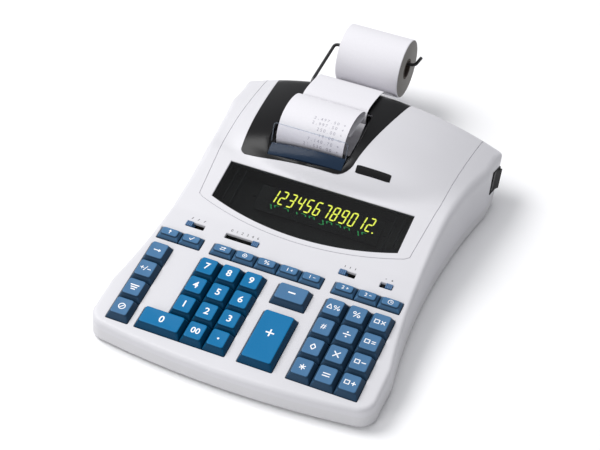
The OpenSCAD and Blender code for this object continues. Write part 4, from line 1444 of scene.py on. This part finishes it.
def make_wire():
    x0, z = PAPER_X[0] - 10.5, ROLL[1] + CORE_R - 1.8
    end = PAPER_X[1] + 6.5
    lean = math.radians(27)
    tip = (end + 11.0 * math.sin(lean), ROLL[0], z + 11.0 * math.cos(lean))
    corners = [(x0, 288, 34), (x0, 306.5, 34), (x0, 313, 49.6), (x0, ROLL[0], z), (end, ROLL[0], z), tip]
    wire = Sketch()
    tube(wire, rounded_route(corners, 4.0), 1.45)
    attach(wire.build("roll_holder_wire", LAYOUT, WIRE, smooth=50), "root", ("roll_holder",))


def make_tear_window():
    """Blue window sunk in the cover, and the clear blade standing on it."""
    x0, x1 = PAPER_X[0] - 2.2, PAPER_X[1] + 4.2
    window = Sketch()
    across = [x0 + (x1 - x0) * i / 10 for i in range(11)]
    rings = []
    for k in range(13):
        y = 199.8 + (209 - 199.8) * k / 12
        top = [(x, y, case_height(x, y) - 0.5) for x in across]
        rings.append(top + [(x, y, case_height(x, y) - 1.9) for x in reversed(across)])
    window.loft(rings)
    attach(window.build("tear_window_blue", LAYOUT, TEAR, smooth=40), "root", ("tear_window",))
    stand = LAYOUT @ Matrix.Translation((0, 207.6, 62.2)) @ Matrix.Rotation(math.radians(-18), 4, "X")
    r, height = 2.5, 16.9
    edge = [(x0, 0), (x1, 0)]
    for a in [math.radians(d) for d in range(0, 91, 15)]:
        edge.append((x1 - r + r * math.cos(a), height - r + r * math.sin(a)))
    for a in [math.radians(d) for d in range(90, -1, -15)]:
        edge.append((x0 + r - r * math.cos(a), height - r + r * math.sin(a)))
    blade, rim = Sketch(), Sketch()
    blade.loft([[(x, y, z) for x, z in edge] for y in (-0.5, 0.5)])
    attach(blade.build("tear_blade", stand, BLADE, smooth=30), "root")
    upper = [Vector((x, 0, z)) for x, z in reversed(edge) if z > 6]
    tube(rim, [Vector((x0, 0, 1))] + upper + [Vector((x1, 0, 1))], 0.42, 8)
    attach(rim.build("tear_blade_edge", stand, RIM, smooth=60), "root")


def make_rocker_bezel():
    """Black frame round the power rocker, on the side wall."""
    outer = rounded_box(-10.9, 10.9, -9.9, 9.9, 1.2, 0)
    inner = rounded_box(-10.0, 10.0, -9.0, 9.0, 0.4, 0)
    rings = []
    for x, loop, share in ((-1.0, inner, 1), (0.55, inner, 1), (0.75, outer, 0.965), (0.35, outer, 1),
                           (-1.0, outer, 1)):
        rings.append([(x, y * share, z * share) for y, z, _ in loop])
    bezel = Sketch()
    bezel.loft(rings, closed=True)
    piece = bezel.build("power_rocker_bezel", LAYOUT @ ROCKER_PLACE, ROCKER, smooth=30)
    attach(piece, "root")


def on_case(sketch, name, material):
    """Puts flat marks on the top of the case: their z counts from its surface."""

    def lift(v):
        return Vector((v.x, v.y, case_height(v.x, v.y) + v.z))

    attach(sketch.build(name, LAYOUT, material, warp=lift), "root")


def make_marks():
    """Small numbers and ticks over the slide switches, and a plain plate where a name would be."""
    marks = Sketch()
    y = 125.2
    for k, char in enumerate("012346"):
        marks.text(char, 3.5, (-48.6 + 4.4 * k, y), low=MARK_LOW, high=MARK_HIGH)
    for x in (-82.5, -77.3, -72.1):
        marks.stroke((x - 0.5, y - 0.9), (x + 0.5, y + 0.9), 0.6, MARK_LOW, MARK_HIGH)
    for x in (45.8, 50, 54.2):
        marks.stroke((x, y - 0.9), (x, y + 0.9), 0.5, MARK_LOW, MARK_HIGH)
    for x, size in ((79, 0.4), (84, 0.65)):
        marks.disc((x, y), size, MARK_LOW, MARK_HIGH, 12)
    on_case(marks, "slide_marks", DARK_INK)
    plate = Sketch()
    turn = math.radians(4.5)
    c, s = math.cos(turn), math.sin(turn)
    rings = []
    for k in range(13):
        x, half = -14.2 + 28.4 * k / 12, 2.7 if k in (0, 12) else 3.1
        row = [(x, -half + 2 * half * i / 4) for i in range(5)]
        place = [(x * c - y * s + 35.6, x * s + y * c + 205.6) for x, y in row]
        rings.append([(x, y, -0.2) for x, y in place] + [(x, y, 0.3) for x, y in reversed(place)])
    plate.loft(rings)
    on_case(plate, "blank_plate", BLACK)


def make_tray():
    """Dark tray behind the display window; it hides the inside of the case."""
    slope = math.atan((BROW_Z - RAMP_Z) / (BROW_Y - RAMP_Y))
    low = 2.55
    tray = Sketch()

    def ring(grow, depth):
        back, down = depth * math.sin(slope), depth * math.cos(slope)
        rise = math.tan(slope)
        return [(x, y + back, RAMP_Z + (y - RAMP_Y) * rise - down) for x, y in display_loop(grow)]

    tray.loft([ring(-1.0, 14.0), ring(-1.0, low), ring(-1.8, low), ring(-2.6, 13.2)])
    attach(tray.build("display_tray", LAYOUT, TRAY, smooth=30), "root")
    ribs = Sketch()
    for x, foot in ((-70.5, 22), (-63.5, 19), (64.5, 19), (71.5, 22)):
        ribs.prism([(x - 0.35, foot), (x + 0.35, foot), (x + 0.35, 57.5), (x - 0.35, 57.5)], -7.5, -3.2)
    ramp = LAYOUT @ Matrix.Translation((0, RAMP_Y, RAMP_Z)) @ Matrix.Rotation(slope, 4, "X")
    attach(ribs.build("display_tray_ribs", ramp, RIB, smooth=30), "root")


# ---------------------------------------------------------------- plain CAD nodes

def finish_cad(pairs):
    for node, material in pairs.items():
        for slot in nodes[node].material_slots:
            slot.material = material


make_camera()
make_studio()
make_keys()
make_display()
make_case()
make_cover()
make_strip()
make_roll()
make_wire()
make_tear_window()
make_rocker_bezel()
make_marks()
make_tray()
finish_cad({
    "base_shell": CASE_BASE, "rubber_feet": RUBBER, "case_screws": STEEL,
    "circuit_board": BOARD, "key_mat": MAT, "printer_frame": FRAME_DARK, "platen_roller": PLATEN_RUBBER,
    "power_rocker": ROCKER,
    "slide_print": KNOB, "slide_decimal": KNOB, "slide_round": KNOB, "slide_rate": KNOB,
})
